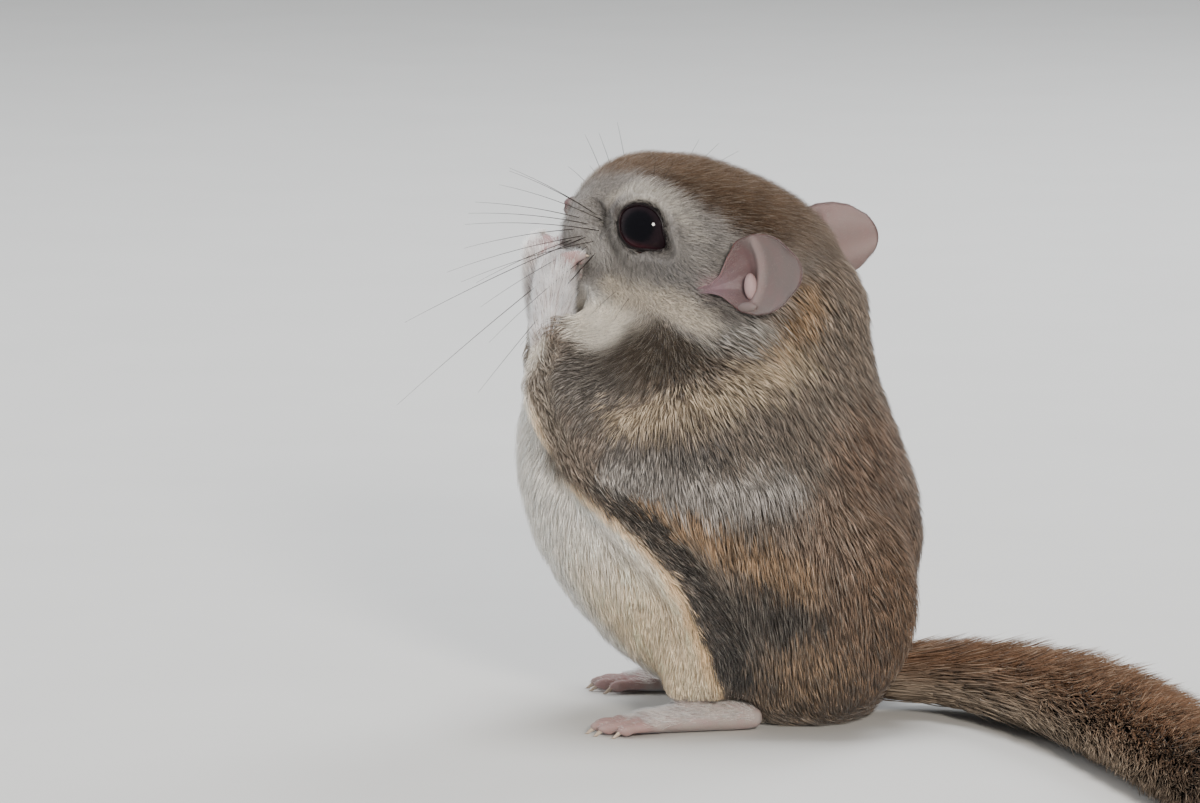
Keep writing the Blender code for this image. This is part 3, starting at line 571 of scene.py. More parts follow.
class Recipe:
    """A material in the making, read at the piece's own places."""

    def __init__(self, name: str) -> None:
        """Starts a material.

        Args:
            name: its name.
        """
        self.material = bpy.data.materials.new(name)
        self.material.use_nodes = True
        self.tree = self.material.node_tree
        self.place = add_node(self.tree, "ShaderNodeTexCoord").outputs["Object"]

    def tone(self) -> Socket:
        """The colour that is painted on the piece."""
        return add_node(self.tree, "ShaderNodeAttribute", {"attribute_name": "tone"}).outputs["Color"]

    def noise(self, size: float, detail: float, place: Socket | None = None, coarse: float = 0.5) -> Socket:
        """Cloudy noise.

        Args:
            size: the size of its patches in millimetres.
            detail: how many finer layers lie on them.
            place: where it is read, if not at the piece's places.
            coarse: how strong the finer layers are.

        Returns:
            Its value.
        """
        values = {"Scale": per_mm(size), "Detail": detail, "Roughness": coarse}
        links = {"Vector": self.place if place is None else place}
        return add_node(self.tree, "ShaderNodeTexNoise", values=values, links=links).outputs["Fac"]

    def ranged(self, source: Socket, to: Pair, of: Pair = (0.0, 1.0)) -> Socket:
        """Brings a value from one range to another, and keeps it within that."""
        values = {"From Min": of[0], "From Max": of[1], "To Min": to[0], "To Max": to[1]}
        node = add_node(self.tree, "ShaderNodeMapRange", values=values, links={"Value": source})
        return node.outputs["Result"]

    def shaded_tone(self, level: Socket) -> Socket:
        """The painted colour, made lighter or darker by a value."""
        links = {0: self.tone(), "Scale": level}
        return add_node(self.tree, "ShaderNodeVectorMath", {"operation": "SCALE"}, links=links).outputs["Vector"]

    def mixed(self, share: Socket, second: str, tone: Socket | None = None, first: str = "#000000") -> Socket:
        """Mixes a second colour into a first, which is even or the painted tone."""
        links = {SHARE: share} if tone is None else {SHARE: share, FIRST: tone}
        values = {FIRST: rgba(first), SECOND: rgba(second)}
        return add_node(self.tree, "ShaderNodeMix", {"data_type": "RGBA"}, values, links).outputs[MIXED]

    def bump(self, height: Socket, strength: float, depth: float) -> Socket:
        """Raises the surface by a value, with its depth in millimetres."""
        values = {"Strength": strength, "Distance": depth * MM}
        return add_node(self.tree, "ShaderNodeBump", values=values, links={"Height": height}).outputs["Normal"]

    def done(self, links: dict[str, Socket], values: dict[str, Any]) -> bpy.types.Material:
        """Gives the shader its inputs.

        Args:
            links: what is linked to its sockets.
            values: what stands on its sockets.

        Returns:
            The material.
        """
        shader = self.tree.nodes["Principled BSDF"]
        for name, source in links.items():
            self.tree.links.new(source, shader.inputs[name])
        for name, value in values.items():
            shader.inputs[name].default_value = value
        return self.material


class Finish:
    """What all finishes share: a material that is made once."""

    name: str

    def build(self) -> bpy.types.Material:
        """Makes the material."""
        raise NotImplementedError

    def material(self) -> bpy.types.Material:
        """The material, made at its first use."""
        return bpy.data.materials.get(self.name) or self.build()


@dataclass(frozen=True)
class SoftHair(Finish):
    """Hair, grown keratin: matt along its scales with a faint silk where it turns to the light."""

    name: str = "squirrel_hair_grown"
    roughness: float = 0.58
    mottle_mm: float = 2.4  # patches of lighter and darker hair
    grain_mm: float = 0.22  # the scales of a hair are too fine to show, so they are drawn this coarse

    def build(self) -> bpy.types.Material:
        """Makes the material."""
        recipe = Recipe(self.name)
        level = recipe.ranged(recipe.noise(self.mottle_mm, 4.0), (0.84, 1.14), (0.3, 0.7))
        grain = recipe.noise(self.grain_mm, 2.0)
        rough = recipe.ranged(grain, (self.roughness - 0.08, self.roughness + 0.1))
        return recipe.done(
            {"Base Color": recipe.shaded_tone(level), "Roughness": rough,
             "Normal": recipe.bump(grain, 0.12, 0.05)},
            {"IOR": 1.45, "Specular IOR Level": 0.34, "Sheen Weight": 0.12, "Sheen Roughness": 0.45},
        )


@dataclass(frozen=True)
class Underfur(Finish):
    """Underfur on hide: dense, soft and quite matt, seen only between the longer hairs."""

    name: str = "squirrel_underfur_on_hide"
    strand_mm: float = 0.35  # real underfur is 0.02 mm thick, drawn coarse enough to show
    strand_scale: Triple = (1.0, 1.0, 0.3)  # the strands are drawn out up and down

    def build(self) -> bpy.types.Material:
        """Makes the material."""
        recipe = Recipe(self.name)
        drawn_out = add_node(recipe.tree, "ShaderNodeMapping", values={"Scale": self.strand_scale},
                             links={"Vector": recipe.place})
        strands = recipe.noise(self.strand_mm, 5.0, drawn_out.outputs["Vector"])
        level = recipe.ranged(strands, (0.6, 1.05), (0.35, 0.65))
        return recipe.done(
            {"Base Color": recipe.shaded_tone(level), "Normal": recipe.bump(strands, 0.8, 0.3)},
            {"Roughness": 0.85, "Specular IOR Level": 0.2, "Sheen Weight": 0.25},
        )


@dataclass(frozen=True)
class BareSkin(Finish):
    """Thin living skin over cartilage and pads: soft, a little moist, with fine creases and blood under it."""

    name: str
    roughness: float = 0.5
    crease_mm: float = 0.32
    blood_mm: float = 2.2
    translucence: float = 0.22
    flush: float = 0.3  # how red the blood makes it
    pore_mm: float = 0.12
    blood: str = "#a8636a"

    def build(self) -> bpy.types.Material:
        """Makes the material."""
        recipe = Recipe(self.name)
        tree = recipe.tree
        flush = recipe.ranged(recipe.noise(self.blood_mm, 6.0, coarse=0.6), (0.0, self.flush), (0.42, 0.68))
        creases = add_node(tree, "ShaderNodeTexVoronoi", {"feature": "DISTANCE_TO_EDGE"},
                           {"Scale": per_mm(self.crease_mm)}, {"Vector": recipe.place})
        edge = recipe.ranged(creases.outputs["Distance"], (0.0, 0.7), (0.0, 0.2))
        pores = recipe.noise(self.pore_mm, 3.0)
        height = add_node(tree, "ShaderNodeMath", {"operation": "MULTIPLY_ADD"}, {1: 0.4}, {0: pores, 2: edge})
        return recipe.done(
            {"Base Color": recipe.mixed(flush, self.blood, recipe.tone()),
             "Roughness": recipe.ranged(pores, (self.roughness - 0.1, self.roughness + 0.12)),
             "Normal": recipe.bump(height.outputs["Value"], 0.35, 0.06)},
            {"Subsurface Weight": self.translucence, "Subsurface Radius": (0.7, 0.38, 0.3),
             "Subsurface Scale": 0.6 * MM, "IOR": 1.4},
        )


@dataclass(frozen=True)
class WetEye(Finish):
    """A wet cornea over a dark iris: mirror-smooth tear film, so it shows a light as a small sharp point."""

    name: str = "wet_cornea_over_dark_iris"
    fibre_mm: float = 0.5

    def build(self) -> bpy.types.Material:
        """Makes the material."""
        recipe = Recipe(self.name)
        level = recipe.ranged(recipe.noise(self.fibre_mm, 5.0), (0.7, 1.3))
        return recipe.done(
            {"Base Color": recipe.shaded_tone(level)},
            {"Roughness": 0.04, "IOR": 1.24, "Coat Weight": 0.3, "Coat Roughness": 0.02, "Coat IOR": 1.34},
        )


@dataclass(frozen=True)
class Horn(Finish):
    """Claw horn or whisker keratin, drawn out in growth: smooth, a little glossy, streaked along its length."""

    name: str
    colour: str
    dark: str
    roughness: float = 0.34
    streak_mm: float = 0.4

    def build(self) -> bpy.types.Material:
        """Makes the material."""
        recipe = Recipe(self.name)
        streaks = recipe.noise(self.streak_mm, 4.0)
        return recipe.done(
            {"Base Color": recipe.mixed(streaks, self.dark, first=self.colour),
             "Normal": recipe.bump(streaks, 0.2, 0.03)},
            {"Roughness": self.roughness, "IOR": 1.54},
        )


@dataclass(frozen=True)
class SweepPaper(Finish):
    """A painted studio sweep: flat pale paint with a faint roller mottle, quite matt."""

    name: str = "painted_studio_sweep"
    colour: str = "#d6d4cf"
    shade: str = "#cfcdc8"
    mottle_mm: float = 35.0

    def build(self) -> bpy.types.Material:
        """Makes the material."""
        recipe = Recipe(self.name)
        mottle = recipe.noise(self.mottle_mm, 4.0)
        return recipe.done(
            {"Base Color": recipe.mixed(mottle, self.shade, first=self.colour)},
            {"Roughness": 0.85, "Specular IOR Level": 0.2},
        )


HAIR = SoftHair()
UNDERFUR = Underfur()
EAR_SKIN = BareSkin("thin_ear_skin", 0.5, 0.5, 3.0, 0.25, 0.10)
PAW_SKIN = BareSkin("creased_paw_skin", 0.5, 0.3, 1.6, 0.22, 0.22)
LID_SKIN = BareSkin("wet_lid_skin", 0.28, 0.3, 1.5, 0.0, 0.02)
NOSE_SKIN = BareSkin("pebbled_nose_skin", 0.42, 0.24, 1.2, 0.1, 0.08)
CORNEA = WetEye()
CLAW_HORN = Horn("pale_claw_horn", "#d8c8b4", "#a58c78")
WHISKER_KERATIN = Horn("dark_whisker_keratin", "#17120f", "#2e2621", 0.4)


def hand_over(obj: bpy.types.Object, finish: Finish, nodes: Sequence[str] = ()) -> bpy.types.Object:
    """Finishes a piece: its material, its body and the solids that it stands for.

    Args:
        obj: the piece.
        finish: its surface.
        nodes: the solids that it replaces.

    Returns:
        The piece.
    """
    obj.data.materials.append(finish.material())
    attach(obj, BODY)
    if nodes:
        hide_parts(*nodes)
    log.info("%s: %d triangles", obj.name, len(obj.data.polygons))
    return obj


# Markings

@dataclass(frozen=True)
class Mark:
    """A soft-edged marking round a place, or along a line of places."""

    line: tuple[tuple[float, ...], ...]
    reach: tuple[float, ...]  # half width at even stations of the line
    tone: str
    strength: float = 0.85
    blur: float = 0.5  # softness of its edge, as a share of the reach
    stretch: tuple[float, ...] = ()  # makes a round mark long, one value for each axis

    @classmethod
    def spot(cls, middle: tuple[float, ...], radii: tuple[float, ...], *look: Any) -> "Mark":
        """A marking round one place, with its radius along each axis, its tone, strength and blur."""
        return cls((middle,), (1,), *look, stretch=radii)

    def share(self, places: Array) -> Array:
        """How strongly the marking shows at each place.

        Args:
            places: rows in the frame that the line is given in.

        Returns:
            A column of shares from 0 to its strength.
        """
        scale = np.array(self.stretch or (1.0,) * places.shape[1])
        spots = places / scale
        line = np.asarray(self.line, float) / scale
        if len(line) == 1:
            ratio = np.linalg.norm(spots - line[0], axis=1) / self.reach[0]
        else:
            ratio = np.full(len(spots), np.inf)
            for i, (a, b) in enumerate(zip(line, line[1:])):
                way = b - a
                t = np.clip(((spots - a) @ way) / (way @ way), 0, 1)
                gap = np.linalg.norm(spots - a - t[:, None] * way, axis=1)
                ratio = np.minimum(ratio, gap / blend(self.reach, (i + t) / (len(line) - 1)))
        return self.strength * ramp(1 + self.blur, 1 - self.blur, ratio)[:, None]


# Places on the flank are (x, z), the same on both sides
FLANK_MARKS: tuple[Mark, ...] = (
    Mark.spot((14.5, 61), (5, 9), "#75675a", 0.8, 0.6),
    Mark(((10.8, 65), (8.6, 60.3), (5.6, 55.8)), (1.8, 2.3, 2.0), "#8f7150", 0.75, 0.7),
    Mark.spot((18, 41), (5, 8), "#6f5543", 0.6, 0.6),
    Mark.spot((22.5, 33), (4, 12), "#6b5a4f", 0.6, 0.6),
    Mark.spot((20, 17), (9, 15), "#67503d", 0.85, 0.6),
    Mark.spot((12.7, 31.8), (6, 5), "#856f5e", 0.6, 0.6),
    Mark.spot((10, 11.5), (7, 6), "#80674e", 0.7, 0.6),
    Mark.spot((-28, 50), (3.5, 10), "#82776a", 0.8, 0.5),
    Mark.spot((-20.5, 51.5), (6, 5), "#5a5550", 0.9, 0.6),
    Mark.spot((-1.1, 59.5), (6, 2.6), "#9c9993", 0.75, 0.5),
    Mark(((-15.3, 46.8), (-8.4, 48.3), (-0.3, 51.6), (8.4, 55.4)), (1.8, 2.2, 2.3), "#a8977f", 0.8, 0.6),
    Mark.spot((-11.1, 56.3), (7.6, 4.4), "#3d3328", 1.0, 0.5),
    Mark(((-16.5, 43.4), (-9, 43.0), (-2.8, 43.6)), (1.5, 1.6, 1.2), "#5d5956", 0.75, 0.7),
    Mark(((-17.4, 39.5), (-4.7, 37.6), (6.9, 38.2)), (2.6, 3.3, 3.0), "#9f9993", 0.85, 0.6),
    Mark(((-13.5, 35.6), (-5.2, 32.2), (0.8, 29.3), (9.1, 25.2)), (1.4, 2.0, 2.6, 3.0), "#9a7a58", 0.68, 0.7),
    Mark(
        ((-20.5, 38.2), (-11.9, 31.0), (-6.1, 24.6), (-2.4, 17.9), (0.6, 10.5)),
        (1.3, 1.9, 2.4, 2.9, 3.0), "#322d29", 0.95, 0.6,
    ),
    Mark(((-2, 21.5), (5.0, 20.4), (10.5, 19.6)), (3.2, 3.8, 2.4), "#38322d", 0.95, 0.6),
)
# Places in the head, the same on both sides
HEAD_MARKS: tuple[Mark, ...] = (
    Mark(
        ((17.8, 0, 9.0), (11.7, 0, 12.8), (5.2, 0, 15.7), (-3, 0, 16.8), (-11.6, 0, 16.3)),
        (4.6, 5.8, 7.6, 8.8, 9.0), "#5f4b39", 0.97, 0.3,
    ),
    Mark.spot((-17, 0, 8), (7, 14, 12), "#75675a", 0.85, 0.5),
    Mark.spot((19.8, 0, 4.5), (3.4, 4.4, 3), "#7b7166", 0.7, 0.5),
    Mark(
        ((12.0, 6.0, 11.0), (4.3, 7.9, 13.6), (-2.9, 8.6, 14.2), (-9.5, 9.3, 13.2)),
        (1.0, 2.2, 2.9, 2.8), "#483421", 0.9, 0.5,
    ),
    Mark(
        ((14.0, 7.6, 5.6), (11.6, 8.6, 8.1), (7.8, 10.1, 10.4), (4.2, 10.3, 10.8), (1.1, 11.4, 9.6),
         (-0.8, 12.2, 8.3)),
        (1.2, 1.5, 1.5, 1.4, 1.2, 1.0), "#aca69c", 0.85, 0.5,
    ),
    Mark(((19.1, 4.9, 2.1), (17.1, 3.5, -1.3), (14.1, 7.8, -3.1)), (2.6, 3.0, 2.4), "#979390", 0.8),
    Mark.spot((15.2, 3.6, 5.2), (2.6, 3.4, 2.4), "#7d7873", 0.7, 0.6),
    Mark.spot((0.8, 13.4, 1.8), (5, 4, 2.6), "#6b6969", 0.6, 0.6),
    Mark(
        ((7.2, 9.4, -5.4), (4.8, 12.7, -4.8), (-1.5, 14.7, -1.8), (-8.6, 17.2, -0.4)),
        (2.2, 2.4, 2.4, 2.0), "#bdb3a4", 0.9, 0.6,
    ),
    Mark.spot((13.1, 7.6, -1.8), (3.0, 2.6, 2.2), "#b6b2ae", 0.8, 0.6),
    Mark(((12.8, 8.6, 4.6), (11.6, 9.2, 4.9)), (1.2, 1.2), "#3f3835", 0.75),
    Mark(((-6.9, 15.0, 2.0), (-11.8, 15.4, 2.3)), (1.7, 1.7), "#4b4541", 0.75, 0.6),
    Mark.spot((-5.8, 13.8, 3.4), (1.8, 2.4, 1.4), "#a98c90", 0.7, 0.5),
    Mark(((-18.5, 9.4, 8.2), (-19.8, 12.5, 4.4), (-19.9, 15, 0.8)), (2.6, 3.0, 2.8), "#8f7150", 0.8, 0.6),
    Mark(((9.2, 10.8, -9.0), (5.0, 13.4, -8.6)), (2.4, 2.4), "#d4d0c8", 0.95, 0.5),
    # Painted shade: a thin dark line along the mouth, for the slit between the lips
    Mark(((14.9, 7.6, -3.6), (13.0, 6.2, -5.9), (11.0, 5.4, -7.6)), (0.4, 0.45, 0.4), "#3a3230", 0.7),
)
# The dorsal coat ends along this line of the flank, (height, x), and the pale underside begins
DORSAL_EDGE: tuple[Pair, ...] = (
    (0, 2), (12, -3.0), (20.5, -6.6), (25.8, -9.9), (32.4, -16.8), (39.7, -25.6), (49.3, -29.4), (62, -31),
)


@dataclass(frozen=True)
class Markings:
    """The colours of the coat, worked out from where a point lies."""

    back: str = "#71655a"
    face: str = "#86827e"
    belly: str = "#d5d0c8"
    shank: str = "#d5c4a9"
    throat: str = "#c9c2b6"
    hem: str = "#d2b38b"  # the warm edge of the pale fur along the membrane
    slate: str = "#443f3c"  # the hair's root on the back
    eye_ring: str = "#241f1d"
    throat_place: Triple = (-18.2, -2.5, 58.6)
    throat_radii: Triple = (5.4, 10.0, 5.0)
    # Where the head's fur stops below the cheek: forward and up in the head
    cheek_edge: tuple[Pair, ...] = ((-9.8, -3.4), (-2.6, -3.6), (7.5, -6.8), (12, -9.5))

    def body_tone(self, places: Array, normals: Array, stray: Array) -> tuple[Array, Array]:
        """Colours the body.

        Args:
            places: points in the animal's frame.
            normals: the outward direction at each.
            stray: how far off its place each hair takes its marking. The pale edge stays crisp.

        Returns:
            The tone of each point, and the share of pale underside as a column.
        """
        flank = (places + stray)[:, [0, 2]]
        out = np.abs(places[:, 1])
        dorsal = np.tile(linear(self.back), (len(places), 1))
        sideways = ramp(3, 11, out)[:, None]
        for mark in FLANK_MARKS:
            share = mark.share(flank) * (sideways if mark.line[0][0] < 12 else 1)
            dorsal = tinted(dorsal, share, mark.tone)
        heights, edge = zip(*DORSAL_EDGE)
        over = np.interp(places[:, 2], heights, edge) - places[:, 0]
        under = ramp(-0.25, 0.35, over)
        front = ramp(-0.3, -0.65, normals[:, 0]) * ramp(13, 9, out) * (places[:, 0] < 2)
        throat = np.linalg.norm((places - self.throat_place) / self.throat_radii, axis=1)
        wrist = ramp(59.4, 60.8, places[:, 2]) * (places[:, 0] < -21.5)
        under = np.maximum.reduce([under, front, ramp(1.25, 0.8, throat), wrist])
        below = ramp(3.5, 1.5, places[:, 2]) * ramp(6, 0, places[:, 0])
        under = np.maximum(under, below)[:, None]
        low = ramp(34, 17, places[:, 2])[:, None] * ramp(8, 15, out)[:, None]
        pale = tinted(linear(self.belly), low, self.shank)
        pale = tinted(pale, ramp(50, 55, places[:, [2]]), self.throat)
        hem = (ramp(1.4, 0.4, np.abs(over - 0.5)) * ramp(12, 17, out))[:, None]
        pale = tinted(pale, 0.75 * hem, self.hem)
        # Painted shade: a darker line along a fold of the membrane, a little inside the pale edge, which the skin
        # doesn't model
        painted_fold_shade = np.exp(-(((over - 3.4) / 0.45) ** 2)) * ramp(12, 17, out)
        painted_fold_shade = painted_fold_shade * ramp(10, 15, places[:, 2]) * ramp(32, 27, places[:, 2])
        pale = pale * (1 - 0.22 * painted_fold_shade[:, None])
        return dorsal + under * (pale - dorsal), under

    def head_tone(self, places: Array) -> Array:
        """Colours the head.

        Args:
            places: points in the animal's frame.

        Returns:
            The tone of each point.
        """
        local = HEAD.local(places)
        local[:, 1] = np.abs(local[:, 1])
        tone = np.tile(linear(self.face), (len(places), 1))
        for mark in HEAD_MARKS:
            tone = tinted(tone, mark.share(local), mark.tone)
        for side in Side:
            place, away, rim = EYE.seen(places, side)
            ring = (ramp(0.75, 0.2, away - rim) * (place[:, 2] > -1))[:, None]
            tone = tinted(tone, 0.92 * ring, self.eye_ring)
        return tone

    def head_ends(self, places: Array) -> Array:
        """Where the fur of the head stops below the cheek: 1 on the head and 0 below it, as a column."""
        forward, left, up = HEAD.local(places).T
        edge = np.interp(forward, *zip(*self.cheek_edge))
        edge = edge - 7 * ramp(9, 4, np.abs(left))
        return ramp(-0.6, 0.7, up - edge)[:, None]

    def dress(self, places: Array, normals: Array, on_head: Array, stray: Array) -> tuple[Array, Array, Array]:
        """Colours the coat.

        Args:
            places: where hairs stand.
            normals: the outward direction there.
            on_head: a column, how much each place belongs to the head's solids.
            stray: how far off its place each hair takes its marking.

        Returns:
            The tone of each hair, the tone of its root, and how strongly its coat is ticked.
        """
        on_head = on_head * self.head_ends(places)
        body, under = self.body_tone(places + 0.2 * stray, normals, 0.8 * stray)
        tones = body + on_head * (self.head_tone(places + 0.5 * stray) - body)
        under = under * (1 - on_head)
        roots = linear(self.slate) * 0.4 + tones * 0.35
        roots = roots + np.maximum(under, 0.45 * on_head) * (tones * 0.96 - roots)
        return tones, roots, (1 - 0.93 * under) * (1 - 0.5 * on_head)


# The lie of the coat

class Flow(Enum):
    """How the hair of a region lies."""

    FROM_NOSE = "back from the nose over the face"
    FAN = "down and out from the throat"
    DOWN = "down the trunk, a little backwards"
    TO_TAIL = "down the back and on to the tail"
    ALONG_FOLD = "down along the folded membrane"
    DOWN_SHANK = "straight down the shank"

    def at(self, places: Array) -> Array:
        """The way that the hair lies at each place, before it is laid on the skin.

        Args:
            places: points in the animal's frame.

        Returns:
            A direction for each.
        """
        side = np.sign(places[:, [1]])
        if self is Flow.FROM_NOSE:
            local = HEAD.local(places)
            return unit((local - (26.0, 0, -2.0)) @ HEAD.axes())
        if self is Flow.FAN:
            ways = unit((places - (-11.0, 0, 64.5)) * (1, 0.05, 1))
            back = ramp(-6, 12, places[:, [0]])
            return unit(ways + back * (np.array([0.3, 0, -1.0]) - ways))
        if self is Flow.TO_TAIL:
            near = ramp(20, 4, places[:, [2]])
            return unit(np.hstack([0.1 + 0.9 * near, -0.05 * side * near, -1 + 0.6 * near]))
        if self is Flow.ALONG_FOLD:
            route = np.array([Side.LEFT.body(p) for p in MEMBRANE_EDGE])
            route[:, 1] = np.abs(route[:, 1])
            spots = places * (1, 0, 1) + np.abs(places) * (0, 1, 0)
            gaps = np.linalg.norm(spots[:, None] - (route[1:] + route[:-1]) / 2, axis=2)
            ways = unit(route[1:] - route[:-1])[gaps.argmin(1)]
            ways[:, 1] *= side[:, 0]
            return unit(ways + (0.25, 0, -0.2))
        base = (0.16, 0, -1) if self is Flow.DOWN else (-0.12, 0, -1)
        return unit(np.tile(np.array(base, float), (len(places), 1)))


@dataclass(frozen=True)
class Growth:
    """How the hair of a region grows."""

    length: float
    depth: float  # of the coat
    width: float  # of a tuft
    per_mm2: float
    flow: Flow


GROWTHS: dict[str, Growth] = {
    "head": Growth(3.1, 0.95, 0.175, 9.0, Flow.FROM_NOSE),
    "muzzle": Growth(2.1, 0.6, 0.145, 11.5, Flow.FROM_NOSE),
    "jaw": Growth(2.0, 0.6, 0.16, 11.0, Flow.FROM_NOSE),
    "neck": Growth(4.4, 1.45, 0.205, 5.4, Flow.FAN),
    "chest": Growth(5.0, 1.6, 0.21, 4.6, Flow.FAN),
    "belly": Growth(5.2, 1.7, 0.21, 4.4, Flow.DOWN),
    "rump": Growth(5.4, 1.7, 0.21, 4.2, Flow.TO_TAIL),
    "thigh": Growth(5.0, 1.6, 0.21, 4.6, Flow.DOWN),
    "upper_arm": Growth(4.4, 1.4, 0.205, 5.4, Flow.FAN),
    "forearm": Growth(3.0, 0.85, 0.20, 7.0, Flow.FAN),
    "membrane": Growth(3.0, 0.85, 0.20, 7.0, Flow.ALONG_FOLD),
    "shin": Growth(3.6, 0.9, 0.21, 6.5, Flow.DOWN_SHANK),
}


def growth_of(node: str) -> Growth:
    """The growth of the region that a solid covers."""
    return GROWTHS[node.removesuffix("_left").removesuffix("_right")]


# Tufts

@dataclass
class Tufts:
    """Many tufts of hair, each a thin three-sided solid that tapers to its tip."""

    lines: Array  # the middle line of each: tufts by stations by 3, the tip last
    tops: Array  # the way its ridge points
    widths: Array
    tones: Array  # tufts by stations by 3
    patches: Array  # the root's place on the unwrap of the skin
    patch: float = 0.003

    def picked(self, which: Array) -> "Tufts":
        """Only some of the tufts."""
        values = (self.lines, self.tops, self.widths, self.tones, self.patches)
        return Tufts(*(column[which] for column in values))

    def gathered(self, every: int, pull: float, chance: np.random.Generator) -> Array:
        """Draws the tips of neighbours together into soft locks.

        Args:
            every: how many tufts a lock has on average.
            pull: how far a tip moves towards its lock's tip.
            chance: the seeded generator.

        Returns:
            The number of each tuft's lock.
        """
        seeds = chance.choice(len(self.lines), max(1, len(self.lines) // every), replace=False)
        tree = KDTree(len(seeds))
        for number, seed in enumerate(seeds):
            tree.insert(self.lines[seed, 0], number)
        tree.balance()
        lock = np.array([tree.find(root)[1] for root in self.lines[:, 0]])
        stations = self.lines.shape[1]
        for k in range(1, stations):
            share = pull * (k / (stations - 1)) ** 1.5
            self.lines[:, k] += share * (self.lines[seeds[lock], k] - self.lines[:, k])
        return lock

    def mesh(self) -> tuple[Shell, Array, Array]:
        """Makes the solids of the tufts.

        Returns:
            The shell, the tone of each point, and the place on the OFBake map of each point.
        """
        count, stations, _ = self.lines.shape
        rings = stations - 1
        ways = unit(np.gradient(self.lines, axis=1))
        top = unit(self.tops[:, None] - ways * np.sum(ways * self.tops[:, None], axis=2, keepdims=True))
        side = np.cross(top, ways)
        taper = np.interp(np.arange(rings) / rings, (0, 0.4, 0.7), (0.75, 1.0, 0.72))
        wide = (self.widths[:, None] * taper)[:, :, None]
        middle = self.lines[:, :rings]
        corners = np.stack([middle - side[:, :rings] * wide / 2, middle + side[:, :rings] * wide / 2,
                            middle + top[:, :rings] * wide * 0.36], axis=2)
        points = np.concatenate([corners.reshape(count, rings * 3, 3), self.lines[:, rings:]], axis=1)
        per = rings * 3 + 1
        one = [(0, 2, 1)]
        for r in range(rings - 1):
            for j in range(3):
                a, b = 3 * r + j, 3 * r + (j + 1) % 3
                one += [(a, b, b + 3), (a, b + 3, a + 3)]
        one += [(3 * (rings - 1) + j, 3 * (rings - 1) + (j + 1) % 3, per - 1) for j in range(3)]
        triangles = (np.arange(count)[:, None, None] * per + np.array(one)).reshape(-1, 3)
        points = points.reshape(-1, 3)
        points[:, 2] = np.maximum(points[:, 2], FLOOR_CLEARANCE)
        tones = np.concatenate([np.repeat(self.tones[:, :rings], 3, axis=1), self.tones[:, rings:]], axis=1)
        across = np.append(np.tile([-0.4, 0.4, 0.0], rings), 0.0) * self.patch
        along = np.append(np.repeat(np.arange(rings) / rings, 3), 1.0) * self.patch
        places = (self.patches[:, None] + np.stack([across, along], axis=1)).reshape(-1, 2)
        return Shell(points, triangles), tones.reshape(-1, 3), places


def coat_piece(name: str, layers: Sequence[Tufts]) -> bpy.types.Object:
    """Makes one piece of coat, with its tones and its OFBake map.

    Args:
        name: the piece's name.
        layers: the tufts that it is made of.

    Returns:
        The object.
    """
    shells, tones, places = zip(*(layer.mesh() for layer in layers))
    whole = Shell.joined(shells)
    obj = mesh_object(name, whole)
    paint(obj, np.vstack(tones))
    layer = obj.data.uv_layers.new(name="OFBake")
    layer.data.foreach_set("uv", np.vstack(places)[whole.triangles.ravel()].astype(np.float32).ravel())
    return hand_over(obj, HAIR)


@dataclass(frozen=True)
class Unwrap:
    """Rolls a part of the skin off round an axis, for the map of the coat."""

    origin: Triple
    axis: Triple
    front: Triple  # the seam lies opposite to it
    length: float

    def at(self, places: Array) -> Array:
        """Where points of the skin fall on the unwrap.

        Args:
            places: points in the animal's frame.

        Returns:
            Rows of u and v from 0 to 1.
        """
        axis, front = unit(np.array(self.axis, float)), unit(np.array(self.front, float))
        across = np.cross(axis, front)
        away = places - np.array(self.origin)
        turn = np.arctan2(away @ across, away @ front)
        along = 0.02 + 0.95 * (away @ axis) / self.length
        return np.stack([0.5 + turn / (2 * np.pi) * 0.94, np.clip(along, 0.01, 0.99)], 1)


@dataclass(frozen=True)
class Layer:
    """One layer of a coat: how many points bend a hair, and how it differs from the coat's own numbers."""

    stations: int = 3
    crowd: float = 1.0
    slim: float = 1.0
    lift: float = 1.0
    lock_size: int = 11
    pull: float = 0.34


@dataclass(frozen=True)
class Habit:
    """How much single hairs differ from their neighbours, and locks from each other."""

    sway: float = 0.13  # turn out of the lie, in radians
    guards: float = 0.06  # the share of longer hairs
    guard_extra: float = 0.2
    length: Pair = (0.78, 1.14)
    lift: Pair = (0.72, 1.1)
    width: Pair = (0.8, 1.2)
    depth: float = 0.3  # a root stands this far below the skin
    stray: float = 0.45  # how far off its place a hair takes its marking
    lock_stray: float = 0.75
    dark_tips: float = 0.24
    silver_tips: float = 0.25
    silver: str = "#cdc4b6"


HABIT = Habit()


